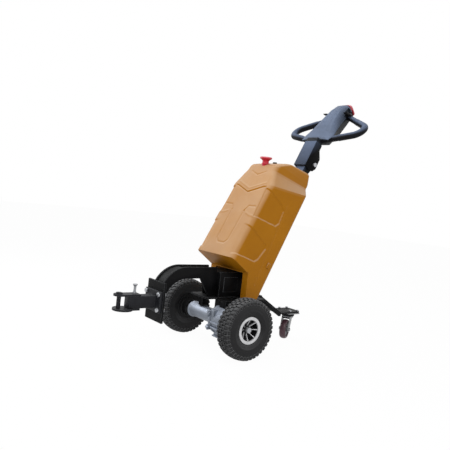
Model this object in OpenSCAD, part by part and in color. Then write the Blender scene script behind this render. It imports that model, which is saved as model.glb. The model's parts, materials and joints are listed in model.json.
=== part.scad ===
// Walk-behind electric tug: two driven pneumatic tyres, a leaning cover over the battery,
// a tow coupler in front, a swivel caster behind and a tiller that folds back.
// Millimetres, +Z up, +X towards the operator, origin on the floor under the middle of the part.

/* [Drive wheels] */
// Outside diameter of a drive tyre
tyre_d = 276; // [262:1:290]
// Width of a drive tyre
tyre_w = 75; // [70:1:82]
// Distance between the middles of the drive tyres
track = 478; // [466:1:496]
// Distance of the wheels' axle ahead of the tug's datum
axle_ahead = 12; // [6:1:18]
// Number of tread blocks round a row of the tyre
tread_count = 39; // [30:1:39]
// Outside diameter of the rim's flange
rim_d = 122; // [116:1:130]
// Width of the rim over its flanges
rim_w = 66; // [60:1:70]
// Number of rim spokes
spokes = 8; // [6:1:10]
// Diameter of the drive shaft
shaft_d = 24; // [18:1:30]
// Running clearance round a shaft or pin
fit = 0.1; // [0.05:0.01:0.2]
// Clearance round a bolt or a piece let into another
slack = 0.3; // [0.2:0.05:0.5]

/* [Transaxle] */
// Outside diameter of the axle tube
axle_tube_d = 78; // [64:1:84]
// Outside diameter of the gear housing
gearbox_d = 124; // [110:1:132]
// Length of the gear housing across the tug
gearbox_l = 80; // [72:1:90]
// Distance of the gear housing's inner face from the middle
gearbox_y = 50; // [44:1:56]
// Diameter of the drive motor
motor_d = 96; // [80:1:104]
// Length of the drive motor
motor_l = 150; // [120:1:170]

/* [Base plate] */
// Height of the plate's top over the axle
plate_over_axle = 105; // [101:1:113]
// Thickness of the base plate
plate_t = 8; // [6:0.5:12]
// Half width of the plate's tongue
plate_half_w = 66; // [62:1:72]
// Half width of the plate under the cover's legs
plate_wide_half = 145; // [143:1:150]
// Half width of the plate's tail and the caster pad
tail_half_w = 49; // [48:1:54]
// Front end of the plate, ahead of the datum
plate_front = 106; // [100:1:112]
// Rear end of the plate's upper level, behind the datum
plate_rear = 232; // [224:1:240]
// Where the caster pad starts, behind the datum
pad_front = 392; // [384:1:398]

/* [Chassis box] */
// Half width of the chassis box
box_half_w = 66; // [60:1:70]
// Height of the chassis box over the plate
box_h = 116; // [100:1:118]
// Length of the chassis box
box_l = 165; // [150:1:170]
// Wall of the chassis box
box_wall = 6; // [4:0.5:8]

/* [Gooseneck and hitch] */
// Radius of the gooseneck's outer arc
neck_r = 135; // [128:1:140]
// Depth of the gooseneck where it is straight
neck_depth = 52; // [46:1:58]
// Radius of the gooseneck's inner arc
neck_inner_r = 107; // [100:1:110]
// Half width over the two gooseneck plates
neck_half_w = 39; // [34:1:44]
// Thickness of a gooseneck plate
neck_t = 11; // [8:0.5:13]
// Distance of the hitch plate's front face from the datum
hitch_x = 343; // [335:1:350]
// Thickness of the hitch plate
hitch_t = 10; // [8:0.5:14]
// Half width of the hitch plate
hitch_half_w = 67.5; // [62:0.5:72]
// Height of the hitch plate
hitch_h = 175; // [165:1:185]
// Size of a hitch bolt
bolt_d = 12; // [10:1:14]
// Spacing of the hitch bolts across the tug
bolt_pitch_y = 102; // [96:1:108]
// Spacing of the hitch bolts up and down
bolt_pitch_z = 67; // [64:1:74]

/* [Coupler] */
// Height of the drawbar's axis over the floor
drawbar_z = 227; // [222:1:232]
// Side of the square drawbar
drawbar_w = 46; // [40:1:50]
// Distance of the tow pin from the datum
pin_x = 517; // [505:1:530]
// Diameter of the tow pin
pin_d = 18; // [14:1:20]
// Clear height between the coupler plates
jaw_h = 53; // [48:1:56]
// Clear depth of the jaw behind the tow pin
jaw_gap = 30; // [24:1:34]
// Thickness of a coupler plate
coupler_t = 8; // [6:0.5:10]
// Radius of the round lower coupler plate
coupler_r = 43; // [38:1:46]
// Half width of the upper coupler plate
coupler_half_w = 24; // [22:1:28]

/* [Cover] */
// Lean of the cover and the tiller from upright
lean = 26.5; // [24:0.5:28]
// Half width of the cover
cover_half_w = 142; // [138:1:143]
// Half width of the cover's cap
cap_half_w = 104; // [98:1:108]
// Height of the cover's shoulder along its lean, at the front
shoulder_u = 489; // [478:1:498]
// Depth of the cover from front to rear, at the foot
cover_depth = 258; // [252:1:262]
// Thickness of the cover
cover_wall = 4; // [3:0.5:5]
// Front corner radius of the cover
cover_corner = 22; // [18:1:28]

/* [Caster] */
// Diameter of the caster wheel
caster_d = 100; // [92:1:106]
// Width of the caster wheel
caster_w = 32; // [28:1:36]
// Trail of the caster wheel behind its swivel
caster_trail = 35; // [28:1:38]
// Distance of the caster's swivel from the datum
caster_x = 491.5; // [480:0.5:496]
// Overall height of the caster under its pad
caster_h = 138; // [134:1:142]
// Angle that the caster stands turned to
caster_turn = -149.5; // [-180:0.5:180]

/* [Tiller] */
// Half width of the tiller sleeve
sleeve_half_w = 41; // [39:0.5:44]
// Height of the hinge along the lean
hinge_u = 782; // [776:1:790]
// Diameter of the hinge pin
hinge_d = 14; // [10:1:16]
// Tilt of the head from level
head_pitch = 40; // [36:1:44]
// Length of the head behind the bow's front bar
head_l = 284; // [274:1:294]
// Diameter of the bow handle's tube
bow_d = 31; // [26:1:33]
// Half width of the bow handle to the tube's middle
bow_half_w = 236; // [226:1:244]
// Bend radius of the bow handle
bow_bend_r = 49; // [44:1:56]

/* [Hidden] */
$fn = 96;

// Overlap that joins two shapes of one solid, and the reach of a cut past its faces
eps = 0.01;
reach = 400;

// Heights and stations along the tug, from a datum on the floor just behind the axle
axle_z = tyre_d / 2;
plate_z = axle_z + plate_over_axle;
tube_out = track / 2 - tyre_w / 2 - 41.5;
box_front = -45;
box_rear = box_front + box_l;
hitch_rear = -hitch_x + hitch_t;
neck_top = plate_z + 135;
neck_arc_x = -hitch_x - 2 + neck_r;
neck_arc_z = neck_top - neck_r;
flange_t = 12;
flange_x = -hitch_x - flange_t;
disc_x = -pin_x + 21;
coupler_rear = -pin_x + 91;
knob_x = -pin_x + 71;
knob_stem_d = 11;
gearbox_out = -gearbox_y - gearbox_l;
jaw_z = drawbar_z - 3.5;
jaw_low = jaw_z - jaw_h / 2;
jaw_top = jaw_z + jaw_h / 2;

// Wheel values: the tyre's bead on the rim, the rim's lips and its hub
bead_r = rim_d / 2 - 8;
rim_lip = 4;
rim_hub_d = 46;
rim_dish = 20;
flange_depth = 20;

// The leaning frame stands on the plate: x is depth towards the rear, z runs up along the lean
lean_x = box_rear + 2;
cover_rear = 16;
cover_front = cover_rear - cover_depth;
column_front = 4;
column_depth = 42;
column_half_w = sleeve_half_w - 10;
hinge_lug_r = 16;
hinge_depth = column_front + column_depth + 4;
column_top = hinge_u + hinge_lug_r;
sleeve_wall = 4;
sleeve_front = -8;
sleeve_rear = 66;
sleeve_back = 42;
pin_head_h = 8;
pin_head_d = 22;
sleeve_low = hinge_u - 37;
sleeve_open = hinge_u + 40;
sleeve_top = hinge_u + 112;

// The head frame: x runs back along the head, z is square to its top
head_depth = 35;
head_u = hinge_u + 149;
shell_low = 12;
housing_low = -44;
button_l = 14;
button_low = -24;
button_top = 37;
button_half_w = 27;

// Bow handle: bend centre and the angles of its two straight runs
bow_bend_s = 83;
bow_bend_y = bow_half_w - bow_bend_r;
bow_sweep = 16.5;
bow_back = 31;
bow_inner_y = 24;
bow_lap = 4;
bow_step = 1;

// Thumb paddles: place and size of their cross shaft, over the bow's tube
paddle_s = 215;
paddle_n = 21;
paddle_shaft_d = 9;

// Cover values: the face of its legs, the two ends of its slanted underside, and what it carries
shoulder_rear_u = shoulder_u + 84;
leg_x = lean_x - 67;
under_rear = [leg_x, plate_z + 125];
under_front = [lean_x - 170, plate_z + 197];
under_slope = (under_front[1] - under_rear[1]) / (under_front[0] - under_rear[0]);
column_gap = 2;
estop_d = 32;
estop_at = [lean_x + 90, 0, plate_z + 634];
estop_proud = 26;
key_d = 22;
key_at = [lean_x + 153, 0, plate_z + 652];
latch_at = [lean_x + 51, plate_z + 161];

// Caster values: top plate, bearing, king pin, fork and wheel core
caster_plate_t = 6;
caster_plate = [76, 96];
caster_bolt = [54, 80];
caster_bearing_h = 16;
caster_bearing_d = 62;
king_d = 14;
fork_top = caster_h - caster_plate_t - caster_bearing_h;
fork_crown_t = 6;
fork_half_in = caster_w / 2 + 3;
fork_t = 4;
caster_axle_d = 10;
caster_hub_d = 74;

// Extent along the tug, which centres the origin
head_x = lean_x + head_depth * cos(lean) + head_u * sin(lean);
x_rear = head_x + (head_l + button_l) * cos(head_pitch) - button_low * sin(head_pitch);
x_front = -pin_x - coupler_half_w;
mid_x = (x_front + x_rear) / 2;

module placed() { translate([-mid_x, 0, 0]) children(); }
module leaned() { placed() translate([lean_x, 0, plate_z]) rotate([0, lean, 0]) children(); }
module headed() { leaned() translate([head_depth, 0, head_u]) rotate([0, -head_pitch - lean, 0]) children(); }
module casterward() { placed() translate([caster_x, 0, 0]) rotate([0, 0, caster_turn]) children(); }

// A flat profile in x and z, made as thick as given and centred on the middle plane
module slab(width) { rotate([90, 0, 0]) linear_extrude(width, center = true) children(); }
// A cylinder along y between two stations
module across(y0, y1, d) { translate([0, y0, 0]) rotate([-90, 0, 0]) cylinder(h = y1 - y0, d = d); }
// A box from its low corner to its high corner
module span(low, high) { translate(low) cube(high - low); }

// Base plate: tongue, wide seat of the cover's legs, and a narrow tail that steps down to the caster pad
module base_plate() {
    pad_z = caster_h;
    seat_front = leg_x - 9;
    seat_rear = lean_x + 58;
    pad_rear = caster_x + 43.5;
    pad_chamfer = 12;
    flange_h = 20;
    flange_w = 6;
    flange_in = 0.5;
    tail_top = [[plate_rear - 1, plate_z], [plate_rear, plate_z], [pad_front, pad_z + plate_t],
        [pad_rear, pad_z + plate_t]];
    tail_low = [[pad_rear, pad_z], [pad_front - plate_t / 2, pad_z],
        [plate_rear - plate_t / 2, plate_z - plate_t], [plate_rear - plate_t, plate_z - plate_t]];
    color("#26272a") placed() {
        span([-plate_front, -plate_half_w, plate_z - plate_t],
            [plate_rear - plate_t / 4, plate_half_w, plate_z]);
        span([seat_front, -plate_wide_half, plate_z - plate_t], [seat_rear, plate_wide_half, plate_z]);
        difference() {
            slab(2 * tail_half_w) polygon(concat(tail_top, tail_low));
            for (side = [-1, 1]) translate([pad_rear, side * tail_half_w, pad_z]) rotate([0, 0, 45])
                cube([pad_chamfer * sqrt(2), pad_chamfer * sqrt(2), 4 * plate_t], center = true);
        }
        for (side = [-1, 1]) translate([0, side * (tail_half_w - flange_in - flange_w / 2), 0])
            slab(flange_w) polygon([[plate_rear, plate_z - 2], [pad_front, pad_z + plate_t - 2],
                [pad_front - 2, pad_z - flange_h / 2], [pad_front - 14, pad_z - flange_h / 2],
                [plate_rear - 6, plate_z - plate_t - flange_h]]);
    }
}

// Chassis box: an open-bottomed welded housing on the plate, with a raised panel on each side
module chassis_box() {
    panel_t = 2;
    panel_edge = 24;
    color("#222326") placed() difference() {
        union() {
            span([box_front, -box_half_w, plate_z], [box_rear, box_half_w, plate_z + box_h]);
            span([box_front + panel_edge, -box_half_w - panel_t, plate_z + panel_edge],
                [box_front + box_l / 2 + panel_edge, box_half_w + panel_t, plate_z + box_h - panel_edge]);
        }
        span([box_front + box_wall, -box_half_w + box_wall, plate_z - eps],
            [box_rear - box_wall, box_half_w - box_wall, plate_z + box_h - box_wall]);
    }
}

// Side outline of a gooseneck plate: a straight beam, an arc down to the hitch plate,
// and a gusset in front of the chassis box, given by its stations at the top and the bottom
module gooseneck_outline(gusset) {
    arc_x = neck_arc_x;
    inner_z = neck_top - neck_depth - neck_inner_r;
    tip_z = 150;
    difference() {
        union() {
            translate([arc_x, neck_arc_z]) circle(neck_r);
            translate([hitch_rear, tip_z]) square([arc_x - hitch_rear, neck_arc_z - tip_z]);
            translate([arc_x, plate_z]) square([box_front - arc_x, neck_top - plate_z]);
        }
        translate([hitch_rear - reach, -reach]) square([reach, 3 * reach]);
        translate([arc_x, inner_z]) circle(neck_inner_r);
        translate([arc_x - neck_inner_r, -reach]) square([2 * neck_inner_r, reach + inner_z]);
        polygon([[arc_x, neck_top - neck_depth], [gusset[0], neck_top - neck_depth],
            [gusset[1], plate_z], [reach, plate_z], [reach, -reach], [arc_x, -reach]]);
        translate([arc_x - neck_inner_r, -reach]) square([neck_inner_r, reach + tip_z]);
    }
}

module gooseneck_plate(side, gusset) {
    color("#232427") placed() translate([0, side * (neck_half_w - neck_t / 2), 0])
        slab(neck_t) gooseneck_outline(gusset);
}
module gooseneck_left() { gooseneck_plate(-1, [-137, -84]); }
module gooseneck_right() { gooseneck_plate(1, [-82, -60]); }

// Rolled web welded between the two gooseneck plates, high on their arc
module gooseneck_web() {
    web_t = 8;
    web_in = 6;
    web_half_w = neck_half_w - neck_t;
    web_start = 95;
    web_sweep = 55;
    color("#1d1e20") placed() translate([neck_arc_x, web_half_w, neck_arc_z]) rotate([90, 0, 0])
        rotate([0, 0, web_start]) rotate_extrude(angle = web_sweep)
            translate([neck_r - web_in - web_t, 0]) square([web_t, 2 * web_half_w]);
}

// Places of the four hitch bolts, as seen from the front
module at_hitch_bolts(x) {
    for (y = [-1, 1], z = [-1, 1])
        translate([x, y * bolt_pitch_y / 2, drawbar_z + z * bolt_pitch_z / 2]) rotate([0, 90, 0]) children();
}

module hitch_plate() {
    hitch_drop = 3;
    plate_low = drawbar_z - hitch_h / 2 - hitch_drop;
    color("#2b2c2f") placed() difference() {
        span([-hitch_x, -hitch_half_w, plate_low], [hitch_rear, hitch_half_w, plate_low + hitch_h]);
        at_hitch_bolts(-hitch_x - eps) cylinder(h = hitch_t + 2 * eps, d = bolt_d + 2 * slack);
    }
}

// Drawbar: a bolted flange and the square bar that carries the coupler
module drawbar() {
    bolt_edge = 12.5;
    flange_half_w = bolt_pitch_y / 2 + bolt_edge;
    flange_half_h = bolt_pitch_z / 2 + bolt_edge;
    bar_front = -pin_x + pin_d / 2 + jaw_gap;
    color("#303135") placed() difference() {
        union() {
            span([flange_x, -flange_half_w, drawbar_z - flange_half_h],
                [-hitch_x, flange_half_w, drawbar_z + flange_half_h]);
            span([bar_front, -drawbar_w / 2, jaw_low], [flange_x + eps, drawbar_w / 2, jaw_top]);
        }
        at_hitch_bolts(flange_x - eps) cylinder(h = flange_t + 2 * eps, d = bolt_d + 2 * slack);
    }
}

// The two coupler plates above and below the drawbar's end
module coupler_plates() {
    color("#34353a") placed() difference() {
        union() {
            translate([disc_x, 0, jaw_low - coupler_t]) cylinder(h = coupler_t, r = coupler_r);
            span([disc_x, -coupler_half_w, jaw_low - coupler_t], [coupler_rear, coupler_half_w, jaw_low]);
            translate([-pin_x, 0, jaw_top]) cylinder(h = coupler_t, r = coupler_half_w);
            span([-pin_x, -coupler_half_w, jaw_top], [coupler_rear, coupler_half_w, jaw_top + coupler_t]);
        }
        translate([-pin_x, 0, 0]) cylinder(h = reach, d = pin_d + 2 * fit);
        translate([knob_x, 0, jaw_z]) cylinder(h = reach, d = knob_stem_d + 2 * slack);
    }
}

// Tow pin: shank through both plates, with a head on top
module tow_pin() {
    head_t = 6;
    head_d = pin_d + 10;
    color("#3a3b40") placed() translate([-pin_x, 0, jaw_low - coupler_t]) {
        cylinder(h = jaw_h + 2 * coupler_t, d = pin_d);
        translate([0, 0, jaw_h + 2 * coupler_t]) cylinder(h = head_t, d = head_d);
    }
}

// Locking knob on the upper coupler plate: a collar, a slim stem and a flared head
module coupler_knob() {
    collar_h = 8;
    collar_d = 15;
    stem_h = 30;
    flare_h = 6;
    head_h = 5;
    head_d = 19;
    color("#b9bcc0") placed() translate([knob_x, 0, jaw_top]) {
        cylinder(h = coupler_t + stem_h, d = knob_stem_d);
        translate([0, 0, coupler_t]) cylinder(h = collar_h, d = collar_d);
        translate([0, 0, coupler_t + stem_h - eps]) cylinder(h = flare_h, d1 = knob_stem_d, d2 = head_d);
        translate([0, 0, coupler_t + stem_h + flare_h - 2 * eps]) cylinder(h = head_h, d = head_d);
    }
}

// Hex bolts through the drawbar's flange and the hitch plate, with their nuts
module hitch_bolts() {
    head_h = 8;
    head_d = 21;
    color("#a9acb0") placed() at_hitch_bolts(flange_x) {
        cylinder(h = flange_t + hitch_t, d = bolt_d);
        translate([0, 0, -head_h]) cylinder(h = head_h, d = head_d, $fn = 6);
        translate([0, 0, flange_t + hitch_t]) cylinder(h = head_h, d = head_d, $fn = 6);
    }
}

// Cast transaxle: gear housing near one wheel, its flange and foot, and the axle tubes
module transaxle_housing() {
    ring_t = 12;
    ring_d = gearbox_d + 12;
    end_ring_d = axle_tube_d + 14;
    foot_h = 16;
    foot_half_l = 34;
    foot_in = 10;
    color("#b4b7bc") placed() translate([-axle_ahead, 0, axle_z]) difference() {
        union() {
            across(-tube_out, tube_out, axle_tube_d);
            across(gearbox_out, -gearbox_y, gearbox_d);
            across(-gearbox_y - ring_t, -gearbox_y, ring_d);
            for (side = [0, 1]) mirror([0, side, 0]) across(tube_out - ring_t, tube_out, end_ring_d);
            span([-foot_half_l, gearbox_out + foot_in, -gearbox_d / 2 - foot_h],
                [foot_half_l, -gearbox_y - foot_in, 0]);
        }
        across(-reach, reach, shaft_d + 2 * fit);
    }
}

// Drive shaft stubs that carry the wheels
module axle_shafts() {
    shaft_out = track / 2 + rim_w / 2 - rim_dish + 14;
    shaft_in = tube_out - 25;
    color("#c8cacd") placed() translate([-axle_ahead, 0, axle_z]) for (side = [0, 1])
        mirror([0, side, 0]) across(-shaft_out, -shaft_in, shaft_d);
}

// Drive motor, flanged to the rear of the gear housing
module drive_motor() {
    neck_d = 54;
    neck_l = 12;
    motor_y = (gearbox_out - gearbox_y) / 2;
    color("#2c2d30") placed() translate([-axle_ahead, motor_y, axle_z]) rotate([0, 90, 0]) difference() {
        union() {
            cylinder(h = gearbox_d / 2 + neck_l + eps, d = neck_d);
            translate([0, 0, gearbox_d / 2 + neck_l]) cylinder(h = motor_l, d = motor_d);
        }
        rotate([90, 0, 0]) cylinder(h = reach, d = gearbox_d, center = true);
    }
}

// Steel saddles that hang the transaxle under the base plate: one on the gear housing, one on the axle tube,
// each under a cap that reaches below the plate's edge
module axle_saddles() {
    saddle_l = 40;
    cap_t = 10;
    cap_edge = 4;
    cap_in = plate_half_w - 10;
    cap_top = plate_z - plate_t;
    near = [gearbox_out + 18, -gearbox_y - 20, gearbox_d];
    far = [gearbox_y + 18, gearbox_y + 48, axle_tube_d];
    color("#1f2022") placed() translate([-axle_ahead, 0, 0]) {
        for (s = [near, far]) difference() {
            span([-saddle_l / 2, s[0], axle_z + s[2] / 4], [saddle_l / 2, s[1], cap_top - cap_t / 2]);
            translate([0, 0, axle_z]) across(-reach, reach, s[2] + 2 * slack);
        }
        span([-saddle_l / 2 - cap_edge, near[0] - cap_edge, cap_top - cap_t],
            [saddle_l / 2 + cap_edge, -cap_in, cap_top]);
        span([-saddle_l / 2 - cap_edge, cap_in, cap_top - cap_t],
            [saddle_l / 2 + cap_edge, far[1] + cap_edge, cap_top]);
    }
}

// Tiller column: a leaning post that rises from the plate behind the battery
module tiller_column() {
    lug_foot = hinge_u - 4 * hinge_lug_r;
    color("#33353a") difference() {
        leaned() difference() {
            union() {
                span([column_front, -column_half_w, -reach / 4],
                    [column_front + column_depth, column_half_w, column_top]);
                slab(2 * column_half_w) {
                    translate([hinge_depth, hinge_u]) circle(hinge_lug_r);
                    polygon([[column_front, lug_foot], [column_front + column_depth, lug_foot],
                        [hinge_depth + hinge_lug_r - 1, hinge_u], [column_front, hinge_u]]);
                }
            }
            translate([hinge_depth, 0, hinge_u]) across(-reach, reach, hinge_d + 2 * fit);
        }
        placed() span([-reach, -reach, -reach], [2 * reach, reach, plate_z]);
    }
}

// Sections of the cover in the leaning frame:
// height at the front and rear, half width, front depth, rear depth, front and rear corner radius
cover_sections = [
    [-60, -60, cover_half_w, cover_front, cover_rear, cover_corner, 22],
    [shoulder_u, shoulder_rear_u, cover_half_w, cover_front + 17, cover_rear - 3, cover_corner, 22],
    [shoulder_u + 82, shoulder_rear_u + 45, cap_half_w, cover_front + 22, cover_rear + 9, cover_corner, 22],
    [shoulder_u + 120, shoulder_rear_u + 64, cap_half_w - 2, cover_front + 28, cover_rear + 11,
        cover_corner, 20],
    [shoulder_u + 174, shoulder_rear_u + 122, cap_half_w - 7, cover_front + 100, cover_rear - 8,
        cover_corner, 18]];

// One section of the cover, as four thin corner discs, shrunk by an inset
module cover_section(s, inset) {
    disc_t = 1;
    for (side = [-1, 1]) {
        translate([s[3] + s[5], side * (s[2] - s[5]), s[0] - inset])
            cylinder(h = disc_t, r = s[5] - inset, $fn = 32);
        translate([s[4] - s[6], side * (s[2] - s[6]), s[1] - inset])
            cylinder(h = disc_t, r = s[6] - inset, $fn = 32);
    }
}

module cover_form(inset) {
    for (i = [0:len(cover_sections) - 2]) hull() {
        cover_section(cover_sections[i], inset);
        cover_section(cover_sections[i + 1], inset);
    }
}

// Side outline of the space under the cover: ahead of its legs, and below its slanted underside
module under_outline(inset) {
    far_x = -reach;
    lift = inset * sqrt(1 + under_slope * under_slope);
    polygon([[far_x, -reach], [far_x, under_rear[1] + lift + under_slope * (far_x - leg_x)],
        [leg_x + inset, under_rear[1] + lift + under_slope * inset], [leg_x + inset, plate_z],
        [2 * reach, plate_z], [2 * reach, -reach]]);
}

// Recessed side panels, each a row of x and z corners from the column's foot
side_panels = [
    [[11, 514], [111, 447], [84, 344], [-109, 403]],
    [[-93, 344], [29, 255], [-26, 179], [-171, 220]]];

// Cover: a hollow moulded shell on two legs, open below, with recessed side panels
module cover() {
    leg_open_half = 104;
    recess = 2;
    color("#d69a2b") difference() {
        leaned() cover_form(0);
        placed() slab(4 * reach) under_outline(0);
        difference() {
            leaned() cover_form(cover_wall);
            placed() slab(4 * reach) under_outline(cover_wall);
        }
        placed() span([0, -leg_open_half, 0],
            [leg_x + cover_wall + eps, leg_open_half, under_rear[1] - cover_wall]);
        leaned() span([column_front - column_gap, -column_half_w - column_gap, -reach / 4],
            [reach, column_half_w + column_gap, column_top]);
        for (panel = side_panels, side = [-1, 1])
            placed() translate([lean_x, side * (cover_half_w - recess + reach / 2), plate_z])
                slab(reach) polygon(panel);
        placed() translate(estop_at - [0, 0, reach / 4]) cylinder(h = reach, d = estop_d + 2 * slack);
        placed() translate(key_at - [0, 0, reach / 4]) cylinder(h = reach, d = key_d + 2 * slack);
    }
}

// Battery, strapped to the front of the column
module battery() {
    battery_half_w = 104;
    battery_l = 190;
    battery_u = 140;
    battery_h = 300;
    color("#3b3f46") leaned() span([column_front - battery_l, -battery_half_w, battery_u],
        [column_front, battery_half_w, battery_u + battery_h]);
}

// Emergency stop: body through the cap, and its mushroom
module estop_base() {
    body_h = 46;
    color("#8f1d22") placed() translate(estop_at + [0, 0, estop_proud - body_h])
        cylinder(h = body_h, d = estop_d);
}

module estop_button() {
    mushroom_d = 60;
    mushroom_h = 10;
    skirt_d = 52;
    skirt_h = 9;
    color("#b3191f") placed() translate(estop_at + [0, 0, estop_proud]) {
        cylinder(h = skirt_h, d1 = estop_d, d2 = skirt_d);
        translate([0, 0, skirt_h - eps]) cylinder(h = mushroom_h, d = mushroom_d);
    }
}

module key_switch() {
    body_h = 30;
    key_proud = 8;
    color("#17181a") placed() translate(key_at - [0, 0, body_h]) cylinder(h = body_h + key_proud, d = key_d);
}

// Latches that hold the cover at its sides
module cover_latches() {
    latch = [18, 5, 26];
    color("#8a611c") placed() for (side = [-1, 1])
        translate([latch_at[0], side * (cover_half_w + latch[1] / 2), latch_at[1]]) rotate([0, lean, 0])
            cube(latch, center = true);
}

// Drive wheel parts, made for the left side with the wheel's outer face towards -y
module wheel_side(side) {
    placed() translate([-axle_ahead, 0, axle_z]) mirror([0, side, 0])
        translate([0, -track / 2, 0]) children();
}

// Rows of tread blocks across the tyre, each from its low edge to its high edge as a part of the tyre's width
tread_rows = [[-0.46, -0.27], [-0.215, -0.025], [0.025, 0.215], [0.27, 0.46]];
block_h = 6;
block_part = 0.68;
block_draft = 0.05;
crown_drop = 4.5;

// A point of the tyre at a radius, a station across and a number of pitches round
function ring_point(r, y, turn) = [r * cos(turn * 360 / tread_count), y, r * sin(turn * 360 / tread_count)];
function crown_at(y) = tyre_d / 2 - crown_drop * pow(y / (0.46 * tyre_w), 2);
function quad(a, b, c, d) = [[a, b, c], [a, c, d]];

// Corners of the tread: for each row its low edge and high edge, at the foot of the blocks and then on top
tread_points = [for (k = [0:len(tread_rows) - 1], part = [0:3], i = [0:tread_count - 1], end = [0, 1])
    let (y = tread_rows[k][part % 2] * tyre_w, top = part > 1 ? 1 : 0,
        draft = top * block_draft * (1 - 2 * end), turn = i + (k % 2) / 2 + end * block_part + draft)
    ring_point(crown_at(y) - (1 - top) * block_h, y, turn)];

// Corners of each wall: widest ring, rim ring and bead ring, on the outer side and then on the inner side
wall_points = [for (side = [0, 1], ring = [0:2], i = [0:tread_count - 1])
    let (bead_half_w = rim_w / 2 - rim_lip - slack, half_w = ring == 0 ? tyre_w / 2 : bead_half_w,
        r = [0.68 * tyre_d / 2, rim_d / 2 + 1, bead_r][ring])
    ring_point(r, (2 * side - 1) * half_w, i + block_part / 2 + side / 2)];

// Number of a tread corner from its row, its edge and its place round, and of a wall corner
function v(k, part, j) = (k * 4 + part) * 2 * tread_count + (j + 2 * tread_count) % (2 * tread_count);
function w(side, ring, i) = len(tread_points) + (side * 3 + ring) * tread_count + i % tread_count;

// Faces of one tread block and of the gap after it
function block_faces(k, s) = let (e = s + 1) concat(
    quad(v(k, 2, s), v(k, 2, e), v(k, 3, e), v(k, 3, s)),
    quad(v(k, 0, e), v(k, 2, e), v(k, 2, s), v(k, 0, s)),
    quad(v(k, 1, s), v(k, 3, s), v(k, 3, e), v(k, 1, e)),
    quad(v(k, 0, s), v(k, 2, s), v(k, 3, s), v(k, 1, s)),
    quad(v(k, 1, e), v(k, 3, e), v(k, 2, e), v(k, 0, e)),
    quad(v(k, 0, e), v(k, 0, e + 1), v(k, 1, e + 1), v(k, 1, e)));

// Faces of a groove between two rows of blocks
function groove_faces(k, j) = let (step = k % 2 == 0 ? -1 : 1)
    quad(v(k, 1, j), v(k, 1, j + 1), v(k + 1, 0, j + 1 + step), v(k + 1, 0, j + step));

// Faces of both walls and of the bead between them, one pitch long
function wall_faces(i) = let (last = len(tread_rows) - 1, j = 2 * i) concat(
    [[w(0, 0, i), v(0, 0, j + 1), v(0, 0, j)], [v(last, 1, j), v(last, 1, j + 1), w(1, 0, i)]],
    quad(w(0, 0, i), w(0, 0, i + 1), v(0, 0, j + 2), v(0, 0, j + 1)),
    quad(v(last, 1, j + 1), v(last, 1, j + 2), w(1, 0, i + 1), w(1, 0, i)),
    quad(w(0, 1, i), w(0, 1, i + 1), w(0, 0, i + 1), w(0, 0, i)),
    quad(w(0, 2, i), w(0, 2, i + 1), w(0, 1, i + 1), w(0, 1, i)),
    quad(w(1, 0, i), w(1, 0, i + 1), w(1, 1, i + 1), w(1, 1, i)),
    quad(w(1, 1, i), w(1, 1, i + 1), w(1, 2, i + 1), w(1, 2, i)),
    quad(w(1, 2, i), w(1, 2, i + 1), w(0, 2, i + 1), w(0, 2, i)));

// Tyre with four rows of tread blocks, each row half a pitch off the next
module tyre() {
    rows = len(tread_rows);
    pitches = [0:tread_count - 1];
    faces = concat(
        [for (k = [0:rows - 1], i = pitches, f = block_faces(k, 2 * i)) f],
        [for (k = [0:rows - 2], j = [0:2 * tread_count - 1], f = groove_faces(k, j)) f],
        [for (i = pitches, f = wall_faces(i)) f]);
    polyhedron(concat(tread_points, wall_points), faces);
}

// Cast rim: barrel with two flanges, and slim spokes that slant in to a sunk hub
module rim() {
    barrel_in = bead_r - 7;
    seat = bead_r - slack;
    face = -rim_w / 2;
    hub_face = face + rim_dish;
    spoke_w = 7;
    spoke_t = 9;
    spoke_foot = 4;
    spoke_lap = 2;
    difference() {
        union() {
            rotate([90, 0, 0]) rotate_extrude() polygon([
                [barrel_in, -rim_w / 2], [rim_d / 2, -rim_w / 2], [rim_d / 2, -rim_w / 2 + rim_lip],
                [seat, -rim_w / 2 + rim_lip], [seat, rim_w / 2 - rim_lip], [rim_d / 2, rim_w / 2 - rim_lip],
                [rim_d / 2, rim_w / 2], [barrel_in, rim_w / 2]]);
            across(hub_face, rim_w / 2 - flange_depth, rim_hub_d);
            for (i = [0:spokes - 1]) rotate([0, i * 360 / spokes, 0]) linear_extrude(spoke_w, center = true)
                polygon([[rim_hub_d / 2 - spoke_foot, hub_face + 1], [barrel_in + spoke_lap, face + 3],
                    [barrel_in + spoke_lap, face + 3 + spoke_t],
                    [rim_hub_d / 2 - spoke_foot, hub_face + 1 + spoke_t]]);
        }
        across(-reach, reach, shaft_d + 2 * fit);
    }
}

// Hub: driving drum behind the rim, with the nut outside it
module hub() {
    nut_h = 10;
    nut_d = 32;
    nut_y = -rim_w / 2 + rim_dish;
    flange_d = 84;
    flange_y = rim_w / 2 - flange_depth;
    running_gap = 2;
    difference() {
        union() {
            across(nut_y - nut_h, nut_y, nut_d);
            across(flange_y, track / 2 - tube_out - running_gap, flange_d);
        }
        across(-reach, reach, shaft_d + 2 * fit);
    }
}

module tyre_left() { color("#2d2e30") wheel_side(0) tyre(); }
module rim_left() { color("#c9ccd0") wheel_side(0) rim(); }
module hub_left() { color("#6d7075") wheel_side(0) hub(); }
module tyre_right() { color("#2d2e30") wheel_side(1) tyre(); }
module rim_right() { color("#c9ccd0") wheel_side(1) rim(); }
module hub_right() { color("#6d7075") wheel_side(1) hub(); }

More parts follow.
